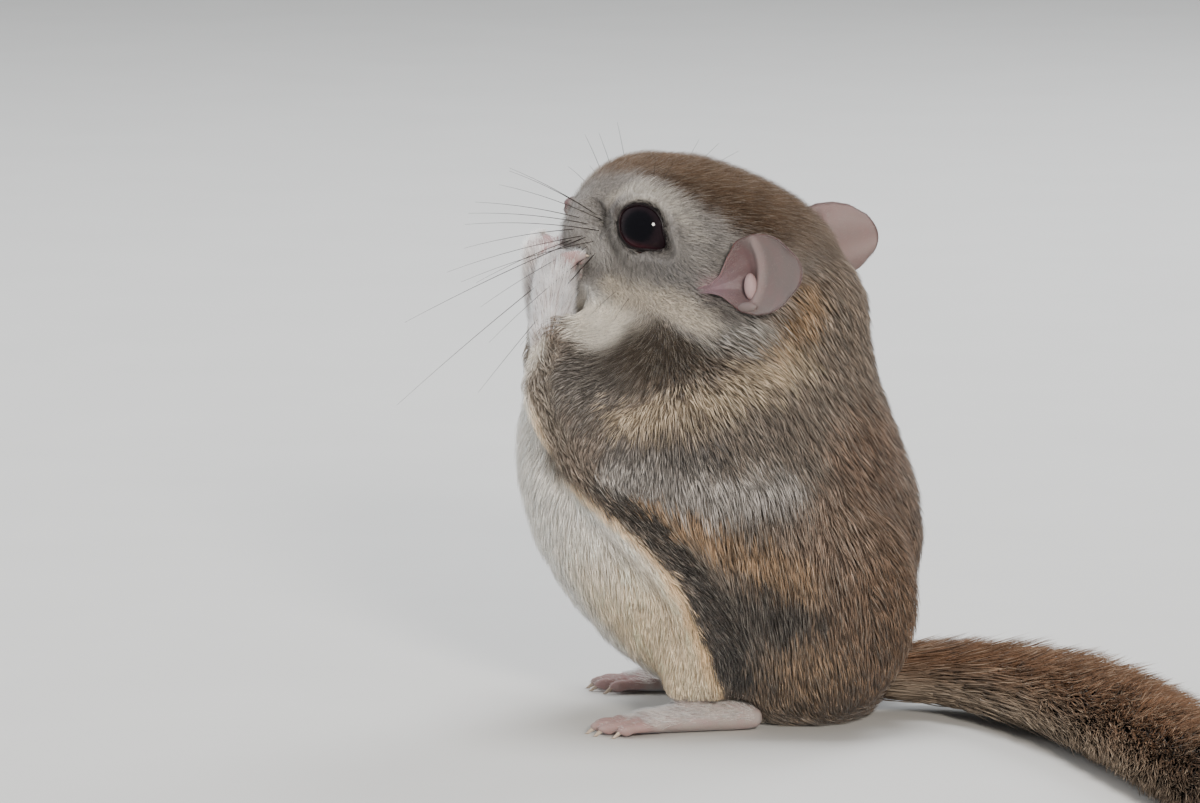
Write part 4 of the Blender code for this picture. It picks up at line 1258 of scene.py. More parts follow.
@dataclass
class HairyGround:
    """A surface that hair grows on, with how it grows at each point."""

    surface: Surface
    ways: Array
    lengths: Array
    depths: Array
    widths: Array
    density: Array
    head_share: Array  # how much each point belongs to the head
    dress: Callable[[Array, Array, Array, Array], tuple[Array, Array, Array]]

    @classmethod
    def even(cls, surface: Surface, way: Array, growth: Growth, tone: str, root: str) -> "HairyGround":
        """A surface whose hair grows the same everywhere.

        Args:
            surface: the surface.
            way: the way that the hair lies.
            growth: how it grows.
            tone: its colour.
            root: its colour at the skin.

        Returns:
            The ground.
        """
        def plain(places: Array, _normals: Array, _share: Array, _stray: Array) -> tuple[Array, Array, Array]:
            """The same tones everywhere, hardly ticked."""
            rows = (len(places), 1)
            return np.tile(linear(tone), rows), np.tile(linear(root), rows), np.full(rows, 0.05)

        full = np.ones(len(surface.points))
        return cls(surface, np.tile(way, (len(full), 1)), full * growth.length, full * growth.depth,
                   full * growth.width, full * growth.per_mm2, full, plain)

    def sow(
        self, chance: np.random.Generator, layer: Layer, share_here: Array | float = 1.0
    ) -> tuple[Tufts, Array]:
        """Grows one layer of tufts.

        Args:
            chance: the seeded generator.
            layer: the layer.
            share_here: how much of the layer each point of the surface has.

        Returns:
            The tufts and the number of the triangle that each grows from.
        """
        points, triangles = self.surface.points, self.surface.triangles
        corners = points[triangles]
        area = np.linalg.norm(np.cross(corners[:, 1] - corners[:, 0], corners[:, 2] - corners[:, 0]), axis=1) / 2
        wanted = area * (self.density * layer.crowd * share_here)[triangles].mean(axis=1)
        number = np.floor(wanted + chance.random(len(wanted))).astype(int)
        host = np.repeat(np.arange(len(triangles)), number)
        a, b = chance.random((2, len(host)))
        fold = a + b > 1
        a[fold], b[fold] = 1 - a[fold], 1 - b[fold]
        share = np.stack([1 - a - b, a, b], axis=1)[:, :, None]

        def at_root(values: Array) -> Array:
            """Values of the surface's points, read at each root."""
            columns = values.reshape(len(values), -1)
            return (columns[triangles[host]] * share).sum(axis=1)

        count = len(host)
        root, normal, way = at_root(points), unit(at_root(self.surface.normals)), at_root(self.ways)
        way = unit(way - normal * dot(way, normal))
        sway = chance.normal(0, HABIT.sway, (count, 1))
        way = way * np.cos(sway) + np.cross(normal, way) * np.sin(sway)
        guard = (chance.random((count, 1)) < HABIT.guards) * HABIT.guard_extra
        length = at_root(self.lengths) * (chance.uniform(*HABIT.length, (count, 1)) + guard)
        lift = at_root(self.depths) * layer.lift * (chance.uniform(*HABIT.lift, (count, 1)) + guard)
        reach = np.sqrt(np.maximum(length**2 - lift**2, 0.2 * length**2))
        tree = BVHTree.FromPolygons([Vector(p) for p in points], triangles.tolist())
        lines = np.empty((count, layer.stations, 3))
        lines[:, 0] = root - normal * HABIT.depth
        for k in range(1, layer.stations):
            s = k / (layer.stations - 1)
            found = [tree.find_nearest(Vector(spot)) for spot in root + way * reach * s]
            ground = np.array([f[0] for f in found])
            out = np.array([f[1] for f in found])
            lines[:, k] = ground + unit(0.7 * out + 0.3 * normal) * lift * (1.6 * s - 0.6 * s * s)
        widths = at_root(self.widths)[:, 0] * layer.slim * chance.uniform(*HABIT.width, count)
        tufts = Tufts(lines, normal, widths, np.empty_like(lines), np.zeros((count, 2)))
        lock = tufts.gathered(layer.lock_size, layer.pull, chance)
        head = at_root(self.head_share)
        stray = chance.normal(0, HABIT.stray, (count, 3))
        stray = stray + chance.normal(0, HABIT.lock_stray, (lock.max() + 1, 3))[lock]
        tone, low, tick = self.dress(root, normal, head, stray)
        tufts.widths *= 0.68 + 0.32 * np.minimum(2 * tick[:, 0], 1)
        hair = np.exp(chance.normal(0, 1, (count, 1)) * (0.03 + 0.17 * tick))
        patch = np.exp(chance.normal(0, 1, lock.max() + 1))[lock][:, None] ** (0.03 + 0.11 * tick)
        tone = tone * hair * patch
        dark = chance.random((count, 1)) < HABIT.dark_tips * tick
        silver = (chance.random((count, 1)) < HABIT.silver_tips * tick) & ~dark
        tip = np.where(dark, tone * 0.35, np.where(silver, tinted(tone, 0.42, HABIT.silver), tone * 1.06))
        for k in range(layer.stations):
            s = k / (layer.stations - 1)
            shade = low + (tone - low) * min(1.0, 0.15 + 1.7 * s)
            tufts.tones[:, k] = (tip if k == layer.stations - 1 else shade) * COAT_LIGHTNESS
        return tufts, host


# The skin and its coat

@dataclass
class FurredBody:
    """The flesh as one smooth skin without seams, and the short coat that covers it."""

    voxel: float = 0.72
    rounds: int = 7
    overlap: float = 0.22  # each solid swells by this much, which closes the cuts between them
    markings: Markings = field(default_factory=Markings)
    guard_hair: Layer = Layer(3, 0.8, 0.9, 1.15, 11, 0.34)
    fine_hair: Layer = Layer(2, 1.9, 0.72, 1.0, 9, 0.28)
    face_hair: Layer = Layer(2, 2.4, 0.66, 1.4, 8, 0.22)
    sink: float = 0.88  # the skin lies below the solids by this share of the coat's depth
    pad: Triple = (14.9, 3.9, -0.8)  # the flesh of a whisker pad, in the head
    pad_radii: Triple = (4.4, 3.5, 4.0)
    eye_keep: Pair = (3.2, 1.0)  # the skin isn't drawn in this near to the lids
    # How far out the skin may lie round an eye: by the distance past the lids' edge, over the edge's height
    lid_bed: tuple[Pair, ...] = (
        (-4, -5.5), (-0.7, -3.0), (0.2, -0.42), (0.9, -0.30), (2.2, 0.7), (3.5, 2.4), (5.0, 6.0),
    )

    @staticmethod
    def nodes() -> list[str]:
        """The solids of the furred flesh."""
        paired = ("upper_arm", "forearm", "membrane", "thigh", "shin")
        pairs = [f"{part}_{side.word}" for part in paired for side in Side]
        return ["head", "muzzle", "jaw", "neck", "chest", "belly", "rump", *pairs]

    def solid(self, node: str) -> Shell:
        """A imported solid, swollen a little along its normals."""
        bm = bmesh.new()
        bm.from_mesh(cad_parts[node].data)
        bmesh.ops.remove_doubles(bm, verts=bm.verts, dist=1e-7)
        bmesh.ops.triangulate(bm, faces=bm.faces)
        bm.normal_update()
        points = np.array([v.co / MM + v.normal * self.overlap for v in bm.verts]) - SHIFT
        triangles = np.array([[v.index for v in f.verts] for f in bm.faces])
        bm.free()
        return Shell(points, triangles)

    def melt(self) -> tuple[Surface, Array]:
        """Makes the skin at the coat's outer height.

        Returns:
            The surface and, for each point, the number of the solid that it lies on.
        """
        solids = [self.solid(node) for node in self.nodes()]
        pads = [ball(side.spot(self.pad), self.pad_radii, HEAD.axes()) for side in Side]
        surface = melted("skin_form", [*solids, *pads], self.voxel, self.rounds)
        whole = Shell.joined(solids)
        tree = BVHTree.FromPolygons([Vector(p) for p in whole.points], whole.triangles.tolist())
        owner = np.repeat(np.arange(len(solids)), [len(s.triangles) for s in solids])
        near = [tree.find_nearest(Vector(p))[2] for p in surface.points]
        return surface, owner[near]

    def prepare(self) -> tuple[HairyGround, Array]:
        """Lays out how the coat grows, and draws the skin in below it.

        Returns:
            The ground for the coat and the solid's number for each point.
        """
        surface, owner = self.melt()
        places, normals = surface.points.copy(), surface.normals
        kinds = [growth_of(node) for node in self.nodes()]
        numbers = np.array([[g.length, g.depth, g.width, g.per_mm2] for g in kinds])[owner]
        ways = np.zeros_like(places)
        for flow in Flow:
            here = np.array([g.flow is flow for g in kinds])[owner]
            ways[here] = flow.at(places[here])
        on_head = (owner < 3).astype(float)[:, None]
        ends = self.markings.head_ends(places)
        ways = ways + on_head * (1 - ends) * (Flow.FAN.at(places) - ways)
        on_head = surface.spread(on_head, 6)
        numbers = surface.spread(numbers, 10)
        ways = surface.spread(ways, 12)
        drawn_in = numbers[:, [1]] * self.sink + self.overlap
        for side in Side:
            local, away, rim = EYE.seen(places, side)
            kept = ramp(*self.eye_keep, away - rim) * (local[:, 2] > -6)
            drawn_in = drawn_in * (1 - kept)[:, None]
        surface.points = places - normals * drawn_in
        for side in Side:
            self.open_eye(surface, ways, numbers, side)
            EARS.open_mouth(surface, numbers, side)
        ground = HairyGround(surface, ways, numbers[:, 0], numbers[:, 1], numbers[:, 2], numbers[:, 3],
                             on_head[:, 0], self.markings.dress)
        return ground, owner

    def open_eye(self, surface: Surface, ways: Array, numbers: Array, side: Side) -> None:
        """Keeps the skin behind the lids, turns the hair away from the eye and makes it finer there.

        Args:
            surface: the skin, which changes.
            ways: the way that hair lies at each of its points, which changes.
            numbers: how the coat grows there, which changes.
            side: which eye.
        """
        axes, centre = EYE.axes(side), EYE.centre(side)
        local, around, rim = EYE.seen(surface.points, side)
        inside = (around < rim + 5.0) & (local[:, 2] > -3.0)
        limit = EYE.lid_height(rim) + np.interp(around - rim, *zip(*self.lid_bed))
        local[inside, 2] = np.minimum(local[inside, 2], limit[inside])
        over_ball = np.sqrt(np.maximum((EYE.radius + 0.15) ** 2 - around**2, 0))
        beyond = inside & (around > rim + 0.08) & (around < EYE.radius)
        local[beyond, 2] = np.maximum(local[beyond, 2], over_ball[beyond])
        surface.points[inside] = centre + local[inside] @ axes
        near = (ramp(5.0, 0.5, around - rim) * (local[:, 2] > -2.5))[:, None]
        outward = unit(local * (1, 1, 0)) @ axes
        ways += 1.7 * near * outward
        for column, less in enumerate((0.45, 0.35, 0.30)):
            numbers[:, [column]] *= 1 - less * near
        numbers[:, 3] *= np.where((around < rim + 0.12) & (local[:, 2] > -3.0), 0, 1 + 0.8 * near[:, 0])

    def build(self, chance: np.random.Generator) -> None:
        """Makes the skin and all pieces of the body's coat.

        Args:
            chance: the seeded generator.
        """
        ground, owner = self.prepare()
        surface = ground.surface
        skin = mesh_object("skin", surface.shell())
        still = np.zeros_like(surface.points)
        on_head = ground.head_share[:, None]
        tones, roots, _ = self.markings.dress(surface.points, surface.normals, on_head, still)
        paint(skin, (0.6 * tones + 0.4 * roots) * COAT_LIGHTNESS * 0.85)
        hand_over(skin, UNDERFUR, self.nodes())
        body = 1 - ground.head_share
        sown = [ground.sow(chance, self.guard_hair, body), ground.sow(chance, self.fine_hair, body),
                ground.sow(chance, self.face_hair, ground.head_share)]
        nodes = np.array(self.nodes())
        crown_to_nose = tuple(HEAD.way((1, 0, 0)))
        round_head = Unwrap(tuple(HEAD.place((-22, 0, 2))), crown_to_nose, tuple(HEAD.way((0, 0, 1))), 46)
        round_trunk = Unwrap((-2, 0, -2), (0, 0, 1), (-1, 0, 0), 70)
        groups = {
            "head": (("head", "muzzle", "jaw"), round_head, "grey_coat"),
            "forequarters": (("neck", "chest"), round_trunk, "brown_coat"),
            "hindquarters": (("belly", "rump"), round_trunk, "white_coat"),
            "arm": ([n for n in nodes if "arm" in n], round_trunk, "brown_coat"),
            "leg": ([n for n in nodes if n.startswith(("membrane", "thigh", "shin"))], round_trunk, "brown_coat"),
        }
        for name, (members, unwrap, slot) in groups.items():
            for side in Side:
                layers = []
                for tufts, host in sown:
                    root = tufts.lines[:, 0]
                    seat = HEAD.local(root)[:, 1] if name == "head" else -root[:, 1]
                    here = np.isin(nodes[owner[surface.triangles[host, 0]]], members) & (seat * side.value >= 0)
                    here &= ~self.over_eye(tufts) & ~EARS.over_mouth(tufts)
                    layers.append(tufts.picked(here))
                    layers[-1].patches = unwrap.at(layers[-1].lines[:, 0])
                coat_piece(f"coat_{name}_{side.word}", layers)

    @staticmethod
    def over_eye(tufts: Tufts) -> Array:
        """Which tufts would cover an eye."""
        covering = np.zeros(len(tufts.lines), bool)
        for side in Side:
            for k in range(tufts.lines.shape[1]):
                local, around, rim = EYE.seen(tufts.lines[:, k], side)
                covering |= (around < rim + 0.10) & (local[:, 2] > 0)
        return covering


# Bare parts of the head

@dataclass(frozen=True)
class Eyes:
    """The two eyeballs, large and nearly black, and the lids round them."""

    iris: str = "#1d1418"
    pupil: str = "#08070b"
    # Painted light: the dark red low in the eye stands for light that comes in through the cornea and falls on
    # the lower iris
    glow: str = "#3d2026"  # the dark red low in the eye
    wet_edge: str = "#2b1d1f"
    lid: str = "#151112"
    steps: int = 96
    # The lids in section: out from the opening's edge, and up from the ball
    profile: tuple[Pair, ...] = (
        (-0.06, -0.12), (0.0, 0.10), (0.07, 0.17), (0.16, 0.17), (0.28, 0.04), (0.42, -0.22), (0.58, -0.62),
        (0.6, -1.3), (0.4, -0.95), (0.15, -0.5),
    )

    def build_ball(self, side: Side) -> None:
        """Makes one eyeball."""
        axes, centre = EYE.axes(side), EYE.centre(side)
        shell = ball(centre, (EYE.radius,) * 3, axes, 72, 46)
        local = (shell.points - centre) @ axes.T / EYE.radius
        away = np.hypot(local[:, 0], local[:, 1])[:, None]
        tone = tinted(linear(self.pupil), ramp(0.42, 0.62, away), self.iris)
        # Painted light on the lower iris, opposite the lamps above
        low = ramp(-0.35, -0.7, local[:, [1]]) * ramp(0.3, 0.6, away)
        tone = tinted(tone, 0.8 * low, self.glow)
        eye = mesh_object(f"eyeball_{side.word}", shell)
        paint(eye, tone)
        hand_over(eye, CORNEA, [f"eye_{side.word}"])

    def build_lids(self, side: Side) -> None:
        """Makes the ring of both lids, which meet in two corners."""
        axes, centre = EYE.axes(side), EYE.centre(side)
        angle = 2 * np.pi * np.arange(self.steps) / self.steps
        rim = EYE.rim(angle)
        height = EYE.lid_height(rim)
        wrinkle = 1 + 0.10 * np.sin(9 * angle + 1.0) + 0.07 * np.sin(17 * angle)
        rings = []
        for out, rise in self.profile:
            away, up = rim + out * (wrinkle if out > 0.3 else 1), height + rise
            place = np.stack([away * np.cos(angle), away * np.sin(angle), up], axis=1)
            rings.append(centre + place @ axes)
        count = len(rings)
        numbers = [np.arange(self.steps) + i * self.steps for i in range(count)]
        faces = [strip(numbers[i], numbers[(i + 1) % count]) for i in range(count)]
        shell = Shell(np.vstack(rings), np.vstack(faces)).facing_out()
        lids = mesh_object(f"eyelids_{side.word}", shell)
        tones = np.array([linear(self.wet_edge if i < 2 else self.lid) for i in range(count)])
        paint(lids, np.repeat(tones, self.steps, axis=0))
        hand_over(lids, LID_SKIN)

    def build(self) -> None:
        """Makes both eyes."""
        for side in Side:
            self.build_ball(side)
            self.build_lids(side)


@dataclass(frozen=True)
class Ears:
    """The two ears: thin rounded cups that narrow to a pinched, folded trough on the cheek."""

    root: Triple = (-7.4, 13.0, 4.8)
    along: Triple = (-0.78, 0.30, 0.55)
    across: Triple = (0.52, -0.16, 0.82)
    length: float = 15.4
    width: float = 11.8
    cup: float = 2.2
    thickness: float = 0.62
    start: float = -0.16  # where the pinch lies, as a share of the length
    pinch: Pair = (-1.7, 1.7)  # across and out
    # How much the cup is drawn in to its trough, by the share of its length
    trough: tuple[Pair, ...] = ((-0.16, 1.0), (0.0, 0.90), (0.11, 0.68), (0.19, 0.28), (0.28, 0.0))
    outline: tuple[float, ...] = (0.62, 0.74, 0.90, 1.0, 0.98, 0.84, 0.50)  # width at even stations
    hollow: tuple[float, ...] = (1.5, 1.35, 1.05, 0.85, 0.6, 0.35, 0.1)  # depth at even stations
    # Two lumps in the trough, along, across and out, with their radii
    knob: tuple[Triple, Triple] = ((5.1, -1.6, -1.3), (0.95, 1.95, 1.0))
    lobe: tuple[Triple, Triple] = ((5.2, -4.6, -0.1), (1.7, 0.8, 0.8))
    stations: int = 44
    steps: int = 37
    inside: str = "#776c69"
    # painted shade deep in the cup, towards its base
    deep: str = "#685555"
    base: str = "#877178"
    rim: str = "#453331"
    back: str = "#86736f"
    fold_tone: str = "#a3918e"
    vein: str = "#a89490"
    # the knob's own pale skin, painted lighter still as the highlight that it catches
    knob_tone: str = "#a8908f"
    down_growth: Growth = Growth(1.1, 0.18, 0.07, 3.4, Flow.FROM_NOSE)
    down_layer: Layer = Layer(2, crowd=1.3, lock_size=9, pull=0.15)
    down_tones: tuple[str, str] = ("#958a86", "#7d706e")

    def axes(self, side: Side) -> Array:
        """The ear's own directions: along it, across it, and out of its mouth."""
        along = side.way(self.along)
        across = side.way(self.across)
        across = unit(across - along * (across @ along))
        mouth = unit(np.cross(across, along))
        return np.array([along, across, mouth * math.copysign(1, mouth @ side.way((0, 1, 0)))])

    def half_width(self, share: Array) -> Array:
        """Half of the cup's width at shares of its length."""
        return self.width / 2 * blend(self.outline, np.clip(share, 0, 1))

    def drawn(self, share: Array) -> Array:
        """How much the cup is drawn in to its trough: wholly at the pinch, and not at all further up."""
        return np.interp(share, *zip(*self.trough))

    @staticmethod
    def on_fold(share: Array, place: Array) -> Array:
        """How much of the long fold across the cup shows at each place."""
        return np.exp(-(((share - 0.05 * place) / 0.05) ** 2))

    def rise(self, share: Array, place: Array) -> Array:
        """How far out the sheet's middle lies.

        Args:
            share: how far along the ear.
            place: how far across, from -1 to 1.

        Returns:
            The height at each.
        """
        s = np.clip(share, 0, 1)
        cup = self.cup * blend(self.hollow, s)
        sink = cup * (1 - place**2) + 0.35 * self.cup * s * (1 - s)
        fold = 0.55 * self.on_fold(s - 0.43, place) * ramp(1.0, 0.7, np.abs(place))
        ridges = 0.16 * np.cos(11 * place + 9 * s) * ramp(0.42, 0.15, share)
        ridges = ridges * ramp(1.05, 0.8, np.abs(place))
        return 0.5 * np.abs(place) ** 4 - sink + fold + ridges

    def spot(self, share: Array, place: Array) -> Array:
        """Where a place of the sheet lies, as rows along, across and out."""
        along = self.length * share - 1.2 * place**2 * np.clip(share, 0, 1)
        flat = np.stack([along, self.half_width(share) * place, self.rise(share, place)], -1)
        drawn = self.drawn(share)[..., None]
        trough = np.stack([self.length * share, 0.35 * place, -0.5 * (1 - place**2)], -1)
        end = np.array([0, *self.pinch]) + trough
        return flat + drawn * (end - flat)

    def shell(self, side: Side) -> tuple[Shell, Array, Array]:
        """The closed cup.

        Args:
            side: which ear.

        Returns:
            The shell, and for each of its points the share along and the place across.
        """
        n, m = self.stations, self.steps
        share, place = np.meshgrid(np.linspace(self.start, 1, n), np.linspace(-1, 1, m), indexing="ij")
        middle = self.spot(share, place)
        thin = self.thickness / 2 * (1 - 0.35 * np.clip(share, 0, 1)) * (1 - 0.5 * place**8)
        faces = [middle + np.stack([0 * thin, 0 * thin, lift * thin], -1) for lift in (1, -1)]
        grid = np.arange(n * m).reshape(n, m)
        a, b, c, d = grid[:-1, :-1], grid[:-1, 1:], grid[1:, 1:], grid[1:, :-1]
        front = np.vstack([np.stack([a, b, c], -1).reshape(-1, 3), np.stack([a, c, d], -1).reshape(-1, 3)])
        border = np.concatenate([grid[0, :-1], grid[:-1, -1], grid[-1, :0:-1], grid[:0:-1, 0]])
        ahead = np.roll(border, -1)
        edge = np.vstack([np.stack([border, border + n * m, ahead + n * m], 1),
                          np.stack([border, ahead + n * m, ahead], 1)])
        root = side.spot(self.root)
        points = root + np.vstack([face.reshape(-1, 3) for face in faces]) @ self.axes(side)
        triangles = np.vstack([front, front[:, ::-1] + n * m, edge])
        return Shell(points, triangles).facing_out(), np.tile(share.ravel(), 2), np.tile(place.ravel(), 2)

    def local(self, places: Array, side: Side) -> tuple[Array, Array, Array]:
        """Points as the share along the ear, the place across it, and the height over its sheet."""
        along, across, out = ((places - side.spot(self.root)) @ self.axes(side).T).T
        share = along / self.length
        place = across / self.half_width(share)
        drawn = self.drawn(share)
        place = (across - drawn * self.pinch[0]) / (self.half_width(share) * (1 - drawn) + 0.35 * drawn + 0.01)
        return share, place, out - self.spot(share, np.clip(place, -1, 1))[:, 2]

    def open_mouth(self, surface: Surface, numbers: Array, side: Side) -> None:
        """Draws the head's skin in behind the cup, where it would fill the ear's mouth, and keeps it bald there.

        Args:
            surface: the skin, which changes.
            numbers: how the coat grows at each of its points, which changes.
            side: which ear.
        """
        share, place, over = self.local(surface.points, side)
        within = ramp(1.02, 0.86, np.abs(place)) * ramp(self.start - 0.02, -0.08, share)
        within = within * ramp(0.95, 0.75, share) * (over > -1.0) * (over < 7)
        drop = np.maximum(over + 0.75, 0) * within
        surface.points = surface.points - drop[:, None] * self.axes(side)[2]
        numbers[:, 3] *= within < 0.15

    def over_mouth(self, tufts: Tufts) -> Array:
        """Which tufts would hang into an ear's mouth."""
        covering = np.zeros(len(tufts.lines), bool)
        for side in Side:
            for k in range(tufts.lines.shape[1]):
                share, place, over = self.local(tufts.lines[:, k], side)
                inside = (np.abs(place) < 0.90) & (share > self.start + 0.19) & (share < 0.9)
                covering |= inside & (np.abs(over - 2) < 2.5)
        return covering

    def tones(self, share: Array, place: Array) -> Array:
        """The ear's colours: pale skin with painted shade deep in the cup, pink in the trough, with a thin dark
        rim.
        """
        half = len(share) // 2
        # Painted shade: darker towards the base, where the cup is deepest
        inside = tinted(linear(self.deep), ramp(0.25, 0.5, share)[:, None], self.inside)
        inside = tinted(inside, 0.45 * self.on_fold(share - 0.44, place)[:, None], self.fold_tone)
        inside = tinted(inside, 0.8 * ramp(0.26, -0.02, share)[:, None], self.base)
        behind = tinted(linear(self.back), 0.5 * np.exp(-(((place + 0.35) / 0.3) ** 2))[:, None], self.vein)
        tone = np.where((np.arange(len(share)) < half)[:, None], inside, behind)
        edge = np.maximum(np.abs(place), ramp(0.9, 1.0, share)) * (share > 0.2)
        return tinted(tone, 0.85 * ramp(0.94, 0.995, edge)[:, None], self.rim)

    def build(self, chance: np.random.Generator) -> None:
        """Makes both ears with the fine down on them.

        Args:
            chance: the seeded generator.
        """
        for side in Side:
            axes = self.axes(side)
            along, across, mouth = axes
            root = side.spot(self.root)
            cup, share, place = self.shell(side)
            tones, shells = [self.tones(share, place)], [cup]
            # The knob's tone holds a painted highlight over its pale skin
            for (spot, radii), tone in ((self.knob, self.knob_tone), (self.lobe, self.inside)):
                shells.append(ball(root + np.array(spot) @ axes, radii, axes))
                tones.append(np.tile(linear(tone), (len(shells[-1].points), 1)))
            ear = mesh_object(f"ear_cup_{side.word}", Shell.joined(shells))
            paint(ear, np.vstack(tones))
            hand_over(ear, EAR_SKIN, [f"ear_{side.word}"])
            down = HairyGround.even(Surface(cup), along + 0.1 * across, self.down_growth, *self.down_tones)
            rim = ramp(0.86, 0.97, np.maximum(np.abs(place), share)) * (share > 0.1)
            down.lengths, down.density = down.lengths * (1 + 0.5 * rim), down.density * (1 + 2 * rim)
            hairs, _ = down.sow(chance, self.down_layer)
            hairs.patches = Unwrap(tuple(root), tuple(along), tuple(mouth), 17).at(hairs.lines[:, 0])
            coat_piece(f"coat_ear_{side.word}", [hairs])


EARS = Ears()


@dataclass(frozen=True)
class Nose:
    """The bare nose pad: pebbled skin, two comma-shaped nostrils and the groove below them."""

    centre: Triple = (19.6, 0.0, -0.4)
    radii: Triple = (2.0, 2.1, 1.65)
    nostril: Triple = (20.9, 1.0, -0.65)
    skin: str = "#6b5856"
    # painted shade inside the nostrils, and fainter in the groove below them
    depth: str = "#1a1313"

    def build(self) -> None:
        """Makes the nose."""
        shell = ball(HEAD.place(self.centre), self.radii, HEAD.axes(), 96, 64)
        local = HEAD.local(shell.points)
        x, y, z = local.T
        front = ramp(self.centre[0] + 0.2, self.centre[0] + 1.2, x)
        out = np.abs(y) - self.nostril[1]
        hole = np.exp(-((out / 0.50) ** 2) - ((z - self.nostril[2] - 0.25 * out) / 0.36) ** 2)
        wing = np.exp(-(((out - 0.45) / 0.55) ** 2) - ((z - self.nostril[2] - 0.5) / 0.5) ** 2)
        groove = np.exp(-((y / 0.22) ** 2)) * ramp(1.4, 0.4, z)
        push = front * (0.30 * wing - 1.35 * hole - 0.28 * groove)
        shell.points = HEAD.place(local + np.stack([push, 0.15 * np.sign(y) * wing * front, 0 * z], axis=1))
        tone = np.tile(linear(self.skin), (len(x), 1))
        # Painted shade in the nostril holes and, fainter, in the groove
        tone = tinted(tone, (front * np.clip(1.35 * hole + 0.3 * groove, 0, 1))[:, None], self.depth)
        nose = mesh_object("nose_pad", shell)
        paint(nose, tone)
        hand_over(nose, NOSE_SKIN, ["nose"])


@dataclass(frozen=True)
class Whiskers:
    """Long dark whiskers in rows on both whisker pads, with some over the eyes and behind the mouth."""

    rows: int = 4
    in_row: int = 3
    root_radius: float = 0.08
    tip_radius: float = 0.018
    sides: int = 5
    # Where the longest start, the way they point, and their length
    long_ones: tuple[tuple[Triple, Triple, float], ...] = (
        ((13.4, 5.6, -1.4), (0.34, 0.52, -0.76), 37.0),
        ((14.1, 5.4, -0.8), (0.52, 0.62, -0.58), 31.0),
        ((12.2, 6.2, -2.2), (0.10, 0.72, -0.68), 29.0),
    )

    def hair(self, start: Array, way: Array, length: float, sag: float, root: float) -> Shell:
        """One whisker, which bends down a little under its own weight.

        Args:
            start: where it grows.
            way: the way that it points.
            length: how long it is.
            sag: how far its tip hangs, as a share of its length.
            root: its radius at the root.

        Returns:
            Its closed shell.
        """
        shares = np.linspace(0, 1, 9)
        line = start + np.outer(length * shares, way) + np.outer(-sag * length * shares**2, (0, 0, 1.0))
        radii = root + (self.tip_radius - root) * shares**0.8
        return tube(line, radii, up=(0.1, 0.2, 0.97), sides=self.sides, rounded=False)

    def build(self, chance: np.random.Generator) -> None:
        """Makes the whiskers of both sides.

        Args:
            chance: the seeded generator.
        """
        for side in Side:
            hairs = []
            for row in range(self.rows):
                share = row / (self.rows - 1)
                for i in range(self.in_row):
                    start = side.spot((15.8 - 1.6 * i, 4.2 + 0.5 * i, 1.6 - 4.0 * share))
                    local = (0.70 - 0.25 * share - 0.10 * i, 0.72, 0.26 - 0.74 * share)
                    way = unit(side.way(local) + chance.normal(0, 0.05, 3))
                    length = (24 + 4.5 * math.sin(math.pi * share)) * (0.78 + 0.11 * i)
                    length = length * chance.uniform(0.92, 1.04)
                    hairs.append(self.hair(start, way, length, 0.10, self.root_radius))
            single = [(start, way, length, 0.06, 0.10) for start, way, length in self.long_ones]
            for k in range(3):
                single.append(((9.0 - 1.4 * k, 7.0, 11.6), (0.1 - 0.3 * k, 0.6, 0.9), 4.5 + k, 0.05, 0.035))
                single.append(((5.5 - 2.2 * k, 13.0, -4.5), (0.15 - 0.2 * k, 0.9, -0.45), 6.0 - k, 0.10, 0.035))
            for start, way, *rest in single:
                hairs.append(self.hair(side.spot(start), side.way(way), *rest))
            obj = mesh_object(f"whiskers_{side.word}", Shell.joined(hairs))
            hand_over(obj, WHISKER_KERATIN, [f"whisker_pad_{side.word}"])


# Hands and feet

@dataclass(frozen=True)
class Digit:
    """One finger or toe: where it starts, its directions and its measures."""

    start: Array
    heading: Array
    up: Array
    length: float
    radius: float
    curl: float
    claw: float
    # Its radius at the knuckles and between them, by the share of its length
    joints: tuple[Pair, ...] = (
        (-0.12, 1.1), (0, 1.04), (0.2, 0.88), (0.42, 1.0), (0.6, 0.82), (0.85, 0.95), (1, 0.66),
    )

    def line(self, shares: Array) -> Array:
        """Its middle line."""
        out = self.start + np.outer(self.length * shares, self.heading)
        return out - np.outer(self.curl * shares**2, self.up)

    def flesh(self) -> list[Shell]:
        """The digit with its knuckles, and the pad under its end."""
        shares = np.linspace(-0.12, 1, 9)
        widths = self.radius * np.interp(shares, *zip(*self.joints))
        body = tube(self.line(shares), widths, widths * 0.92, self.up, 14)
        end = self.line(np.array([0.84]))[0] - self.up * self.radius * 0.42
        side = np.cross(self.heading, self.up)
        radii = [self.radius * share for share in (0.95, 0.8, 0.6)]
        pad = ball(end, radii, np.array([self.heading, side, self.up]), 14, 8)
        return [body, pad]

    def horn(self) -> Shell:
        """The claw, thin from side to side and bent down to its point."""
        tip = self.line(np.array([0.86]))[0] + self.up * self.radius * 0.12
        down = unit(self.heading - self.up * (0.25 + 1.1 * self.curl / self.length))
        shares = np.linspace(0, 1, 8)
        line = tip + np.outer((self.claw + 0.5) * shares, down) - np.outer(0.5 * self.claw * shares**2, self.up)
        thick = 0.05 + 0.42 * (1 - shares) ** 0.7
        side = np.cross(self.heading, self.up)
        claw = tube(line, thick, thick * 0.72, side, 10, rounded=False)
        claw.points[:, 2] = np.maximum(claw.points[:, 2], FLOOR_CLEARANCE)
        return claw


@dataclass(frozen=True)
class PawLook:
    """The skin and the short hair of both hands, or of both feet."""

    voxel: float
    skin: str
    digits: str
    growth: Growth
    bare: Pair  # a digit is bare this near to its end
    hairy: Pair  # where hair begins, by how far the skin faces the back of the paw


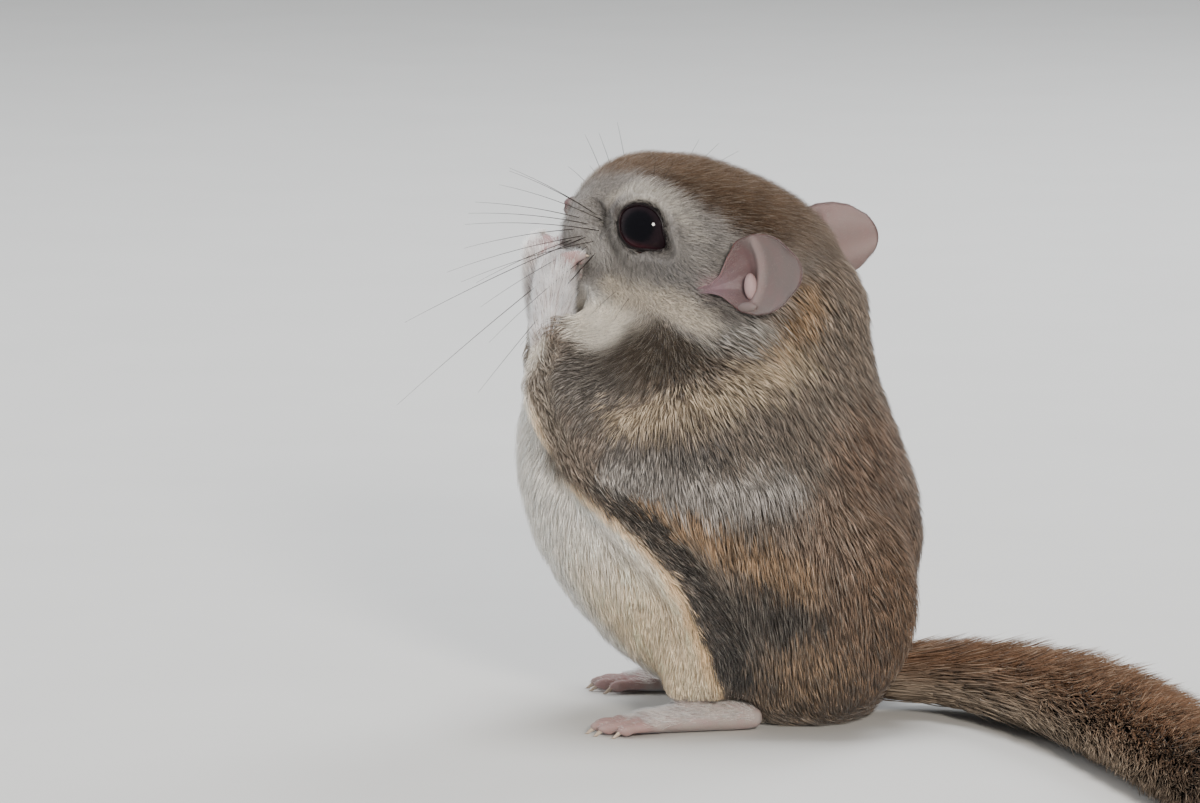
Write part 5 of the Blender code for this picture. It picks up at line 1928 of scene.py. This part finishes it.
@dataclass(frozen=True)
class Paws:
    """The two hands raised to the mouth and the two hind feet flat on the floor."""

    hands: PawLook = PawLook(
        0.24, "#a89b98", "#ae928f", Growth(3.6, 1.0, 0.20, 17.0, Flow.DOWN), (2.2, 0.9), (-1.0, -0.6)
    )
    feet: PawLook = PawLook(
        0.30, "#a99d97", "#a68c87", Growth(2.8, 0.65, 0.19, 13.0, Flow.DOWN), (4.0, 2.0), (-0.25, 0.3)
    )
    down_layer: Layer = Layer(2, lock_size=8, pull=0.25)
    down_tone: str = "#d5cec8"
    heel: Triple = (3.4, 15.6, 2.9)
    ankle: Triple = (-5.6, 16.0, 2.6)
    toes_out: float = 8.0

    def hand(self, side: Side) -> tuple[list[Shell], list[Digit], Array]:
        """The forms of a hand.

        Args:
            side: which hand.

        Returns:
            Its palm and wrist, its digits, and the way that its hair lies.
        """
        wrist, middle = np.array(WRISTS[side]), np.array(HANDS[side])
        heading = unit(middle - wrist)
        inward = np.array([0.86, 0.30 * side.value, 0.40])
        inward = unit(inward - heading * (inward @ heading))
        across = np.cross(heading, inward)
        line = [wrist + heading * d for d in (-4.0, -0.5, 1.7, 3.6)] + [middle + heading * 0.4]
        forms = [tube(line, [2.6, 2.7, 2.9, 3.1, 3.2], [2.5, 2.6, 2.8, 2.9, 2.7], inward, 20)]
        for spread in (-0.6, 0.0, 0.6):
            pad = middle - heading * 0.4 + across * 3.0 * spread + inward * 2.1
            forms.append(ball(pad, (1.2, 1.0, 0.75), np.array([heading, across, inward]), 14, 8))
        digits = []
        for i in range(4):
            spread = (i - 1.5) / 1.5
            start = middle + across * 2.35 * spread + heading * (0.6 - 0.7 * spread**2)
            way = unit(heading * 0.72 + inward * 0.62 + across * 0.12 * spread)
            top = unit(heading * 0.62 - inward * 0.72)
            digits.append(Digit(start, way, top, 3.7 - 0.4 * spread**2, 0.95, 2.2, 0.9))
        thumb = [middle - heading * 1.8 + inward * 1.2, middle - heading * 0.9 + inward * 3.0]
        forms.append(tube(thumb, [0.95, 0.75], up=unit(np.cross(heading, inward)), sides=12))
        return forms, digits, heading

    def foot(self, side: Side) -> tuple[list[Shell], list[Digit], Array]:
        """The forms of a hind foot.

        Args:
            side: which foot.

        Returns:
            Its sole and ankle, its digits, and the way that its hair lies.
        """
        heel, ankle = side.body(self.heel), side.body(self.ankle)
        turn = math.radians(self.toes_out) * side.value
        heading = np.array([-math.cos(turn), -math.sin(turn), 0])
        across = np.cross(UP, heading)
        line = ((0.5, -1.0), (3, -0.7), (6, -0.6), (9, -0.9), (12, -1.1), (15, -1.3), (17, -1.4))
        sole = [heel + heading * d + UP * h for d, h in line]
        wide, high = (1.9, 2.4, 2.8, 3.0, 3.2, 3.45, 3.4), (1.7, 2.1, 2.2, 1.95, 1.75, 1.6, 1.5)
        shank = [ankle + UP * h for h in (7, 3.4, 0)]
        forms = [tube(sole, wide, high, UP, 24), tube(shank, (3.3, 2.9, 2.6), (3.6, 3.0, 2.4), heading, 20)]
        digits = []
        for i in range(5):
            spread = (i - 2) / 2
            start = heel + heading * (16.6 - 1.7 * spread**2) + across * 2.75 * spread - UP * 1.45
            way = unit(heading + across * 0.26 * spread)
            digits.append(Digit(start, way, UP, 7.0 - 1.5 * spread**2, 1.0, 0.35, 2.2))
        return forms, digits, heading

    def build(self, chance: np.random.Generator) -> None:
        """Makes hands and feet with their claws and their short white hair.

        Args:
            chance: the seeded generator.
        """
        for part, form, look in (("hand", self.hand, self.hands), ("foot", self.foot, self.feet)):
            for side in Side:
                forms, digits, heading = form(side)
                flesh = [shell for digit in digits for shell in digit.flesh()]
                surface = melted(f"{part}_form", [*forms, *flesh], look.voxel, 3)
                surface.points[:, 2] = np.maximum(surface.points[:, 2], 0.0)
                ends = np.array([digit.line(np.array([0.6]))[0] for digit in digits])
                near = np.linalg.norm(surface.points[:, None] - ends, axis=2).min(axis=1)
                bare = ramp(*look.bare, near)[:, None]
                skin = mesh_object(f"{part}_skin_{side.word}", surface.shell())
                paint(skin, tinted(linear(look.skin), bare, look.digits))
                hand_over(skin, PAW_SKIN, [f"{part}_{side.word}"])
                horn = Shell.joined([digit.horn() for digit in digits])
                claws = mesh_object(f"{part}_claws_{side.word}", horn)
                hand_over(claws, CLAW_HORN)
                down = HairyGround.even(surface, heading, look.growth, self.down_tone, look.skin)
                hairy = ramp(*look.hairy, surface.normals @ digits[0].up)
                down.density = down.density * hairy * (1 - 0.75 * bare[:, 0])
                down.lengths = down.lengths * (1 - 0.6 * bare[:, 0])
                down.depths = down.depths * (1 - 0.6 * bare[:, 0])
                hairs, _ = down.sow(chance, self.down_layer)
                low_end, size = surface.points.min(axis=0), np.ptp(surface.points[:, 0])
                hairs.patches = Unwrap(tuple(low_end), (1, 0, 0), (0, 0, 1), float(size)).at(hairs.lines[:, 0])
                coat_piece(f"coat_{part}_{side.word}", [hairs])


# The tail

@dataclass(frozen=True)
class Tail:
    """The bushy, flattened tail: a thin core, and long hairs that spread to both sides and bend back along it."""

    core: Pair = (3.2, 2.6)
    rise: Pair = (5.2, 4.6)  # half width and half height of the dense part
    reach: Pair = (11.0, 9.6)
    lay: float = 12.5
    hairs: int = 26000
    width: float = 0.27
    stations: int = 3
    top: str = "#5b4331"
    low: str = "#75685a"
    end: str = "#3f3329"
    root: str = "#3d332c"
    pale: str = "#c9b8a2"
    turns: Pair = (-62, 242)  # hairs stand at these angles round the core, few below
    flare: Pair = (0.35, 0.75)  # how deep in the dense part their roots stand
    lock_size: int = 26
    pull: float = 0.42
    cuts: tuple[float, ...] = (0, 0.34, 0.66, 1.01)  # where one coat piece ends and the next begins
    fullness: tuple[float, ...] = (0.60, 0.82, 0.98, 1.0, 1.0, 0.96, 0.90, 0.76, 0.46)

    def along(self, distance: Array) -> tuple[Array, Array, Array, Array]:
        """What the tail is like at distances from its root.

        Args:
            distance: how far along, as shares of its length.

        Returns:
            The middle line, its direction, its side and its fullness at each.
        """
        route = smooth_route(TAIL_LINE, 12)
        travelled = np.concatenate([[0], np.cumsum(np.linalg.norm(np.diff(route, axis=0), axis=1))])
        share = travelled / travelled[-1]
        ways = np.gradient(route, travelled, axis=0)
        point = np.stack([np.interp(distance, share, route[:, k]) for k in range(3)], axis=1)
        way = unit(np.stack([np.interp(distance, share, ways[:, k]) for k in range(3)], axis=1))
        return point, way, unit(np.cross(way, UP)), blend(self.fullness, distance)

    def build_core(self) -> None:
        """Makes the tail's skin with its dense underfur."""
        shares = np.linspace(0, 1, 90)
        point, way, side, full = self.along(shares)
        angle = 2 * np.pi * np.arange(28) / 28
        rings = []
        for p, s, f in zip(point, side, full):
            across = np.outer(np.cos(angle), s * self.core[0] * f)
            rings.append(p + across + np.outer(np.sin(angle), UP * self.core[1] * f))
        rings.append(point[-1] + (rings[-1] - point[-1]) * 0.3 + way[-1] * 1.5)
        core = mesh_object("tail_core", ring_shell(rings))
        paint(core, np.tile(linear(self.root) * COAT_LIGHTNESS, (len(core.data.vertices), 1)))
        hand_over(core, UNDERFUR, ["tail_root", "tail_upper", "tail_lower", "tail_tip"])

    def build(self, chance: np.random.Generator) -> None:
        """Makes the core and the hair.

        Args:
            chance: the seeded generator.
        """
        self.build_core()
        count = self.hairs
        share = chance.random(count) ** 0.92
        point, way, side, full = self.along(share)
        turn = np.radians(chance.uniform(*self.turns, count))
        c, s = np.cos(turn)[:, None], np.sin(turn)[:, None]
        full = full[:, None]
        core_x, core_y = self.rise[0] * full, self.rise[1] * (0.5 + 0.5 * full)
        inner = chance.uniform(*self.flare, (count, 1))
        root = point + side * c * core_x * inner + UP * s * core_y * inner
        spread = side * c * (self.reach[0] * full - core_x * inner)
        lift = np.where(s > 0, self.reach[1] * (0.3 + 0.7 * full) - core_y * inner, 0.4)
        spread = spread + UP * s * lift
        depth = chance.uniform(0.62, 1.04, (count, 1)) ** 0.8
        reach = np.linalg.norm(spread, axis=1, keepdims=True) * depth
        out = unit(spread + chance.normal(0, 0.10, (count, 3)) * np.linalg.norm(spread, axis=1, keepdims=True))
        lay = self.lay * (0.55 + 0.45 * full) * chance.uniform(0.75, 1.12, (count, 1))
        lines = np.empty((count, self.stations, 3))
        wave = chance.normal(0, 0.35, (count, 3))
        for k in range(self.stations):
            t = k / (self.stations - 1)
            outward, back = out * reach * t * (1.55 - 0.55 * t), way * lay * t * (0.72 + 0.28 * t)
            lines[:, k] = root + outward + back + wave * t**2
        low_hair = chance.uniform(FLOOR_CLEARANCE, 0.5, count)
        lines[:, :, 2] = np.maximum(lines[:, :, 2], low_hair[:, None])
        tufts = Tufts(lines, unit(UP + out * 0.45), self.width * chance.uniform(0.7, 1.25, count),
                      np.empty((count, self.stations, 3)), np.zeros((count, 2)))
        lock = tufts.gathered(self.lock_size, self.pull, chance)
        patch = np.exp(chance.normal(0, 0.16, lock.max() + 1))[lock][:, None]
        tone = tinted(linear(self.low), ramp(-0.1, 0.8, s), self.top)
        tone = tinted(tone, ramp(0.7, 1.0, share)[:, None], self.end)
        tone = tone * np.exp(chance.normal(0, 0.20, (count, 1))) * patch
        pale = (chance.random((count, 1)) < 0.16) * 0.4
        tip = tinted(tone, pale, self.pale)
        low = linear(self.root)
        for k in range(self.stations):
            t = k / (self.stations - 1)
            shade = low + ((tip if t > 0.8 else tone) - low) * min(1.0, 0.25 + 1.3 * t)
            tufts.tones[:, k] = shade * COAT_LIGHTNESS
        across = 0.5 + 0.45 * np.sin(turn) * np.sign(np.cos(turn)) * 0.99
        tufts.patches = np.stack([0.05 + 0.9 * share, across], axis=1)
        for number, (low, high) in enumerate(zip(self.cuts, self.cuts[1:]), 1):
            part = tufts.picked((share >= low) & (share < high))
            coat_piece(f"coat_tail_{number}", [part])


# The studio

@dataclass(frozen=True)
class Studio:
    """A pale floor under soft light, and the camera at the photograph's angle."""

    target: Triple = (-19.1, 0.0, 46.15)
    elevation: float = 8.0
    distance: float = 1.2
    lens: float = 245.0
    floor_size: float = 6.0
    world: str = "#c9cdd2"
    world_light: float = 0.6
    # Name, azimuth, elevation and distance, size, power and tint of each lamp. Wet surfaces show only
    # the first: one catchlight is enough for an eye
    lamps: tuple[tuple[str, Triple, float, float, str], ...] = (
        ("key", (14, 20, 1.1), 0.2, 11.0, "#fff8ef"),
        ("overhead", (180, 80, 1.2), 0.7, 14.0, "#f3f6fb"),
        ("front fill", (-100, 30, 1.3), 0.9, 8.0, "#f6f7fb"),
        ("rim", (150, 35, 1.1), 0.5, 8.0, "#eef3fb"),
    )

    @property
    def middle(self) -> Vector:
        """The point that the camera and all lamps are turned to, in metres."""
        return Vector((np.array(self.target) + SHIFT) * MM)

    def place(self, azimuth: float, elevation: float, distance: float) -> Vector:
        """A point round the target in metres, with azimuth 0 at the camera and 90 at its right."""
        a, e = math.radians(azimuth), math.radians(elevation)
        way = Vector((math.sin(a) * math.cos(e), -math.cos(a) * math.cos(e), math.sin(e)))
        return self.middle + distance * way

    def hang(self, obj: bpy.types.Object, place: Vector) -> None:
        """Puts a lamp or the camera in its place and turns it to the animal."""
        obj.location = place
        obj.rotation_euler = (self.middle - place).to_track_quat("-Z", "Y").to_euler()
        bpy.context.scene.collection.objects.link(obj)

    def lamp(self, name: str, place: Vector, size: float, power: float, colour: str) -> None:
        """A soft light that points at the animal.

        Args:
            name: its name.
            place: where it hangs.
            size: the width of its disc in metres.
            power: watts.
            colour: its tint.
        """
        light = bpy.data.lights.new(name, "AREA")
        light.shape = "DISK"
        light.size = size
        light.energy = power
        light.color = rgba(colour)[:3]
        obj = bpy.data.objects.new(name, light)
        obj.visible_glossy = name == self.lamps[0][0]
        self.hang(obj, place)

    def build(self) -> None:
        """Makes the floor, the lights, the world and the camera."""
        half = self.floor_size / 2 / MM
        corners = np.array([[-half, -half, 0], [half, -half, 0], [half, half, 0], [-half, half, 0]])
        corners = corners - SHIFT * (1, 1, 0)
        floor = mesh_object("floor", Shell(corners, np.array([[0, 1, 2], [0, 2, 3]])))
        floor.data.materials.append(SweepPaper().material())
        floor.visible_glossy = False
        for name, place, size, power, colour in self.lamps:
            self.lamp(name, self.place(*place), size, power, colour)
        world = bpy.data.worlds.new("studio_air")
        world.use_nodes = True
        background = world.node_tree.nodes["Background"]
        background.inputs["Color"].default_value = rgba(self.world)
        background.inputs["Strength"].default_value = self.world_light
        bpy.context.scene.world = world
        camera = bpy.data.objects.new("camera", bpy.data.cameras.new("camera"))
        camera.data.lens = self.lens
        camera.data.clip_start = 0.05
        self.hang(camera, self.place(0, self.elevation, self.distance))
        bpy.context.scene.camera = camera


def main() -> None:
    """Builds the whole animal and its studio."""
    logging.basicConfig(level=logging.INFO, format="%(message)s")
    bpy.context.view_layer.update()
    chance = np.random.default_rng(SEED)
    FurredBody().build(chance)
    Eyes().build()
    EARS.build(chance)
    Nose().build()
    Whiskers().build(chance)
    Paws().build(chance)
    Tail().build(chance)
    Studio().build()


if __name__ == "__main__":
    main()
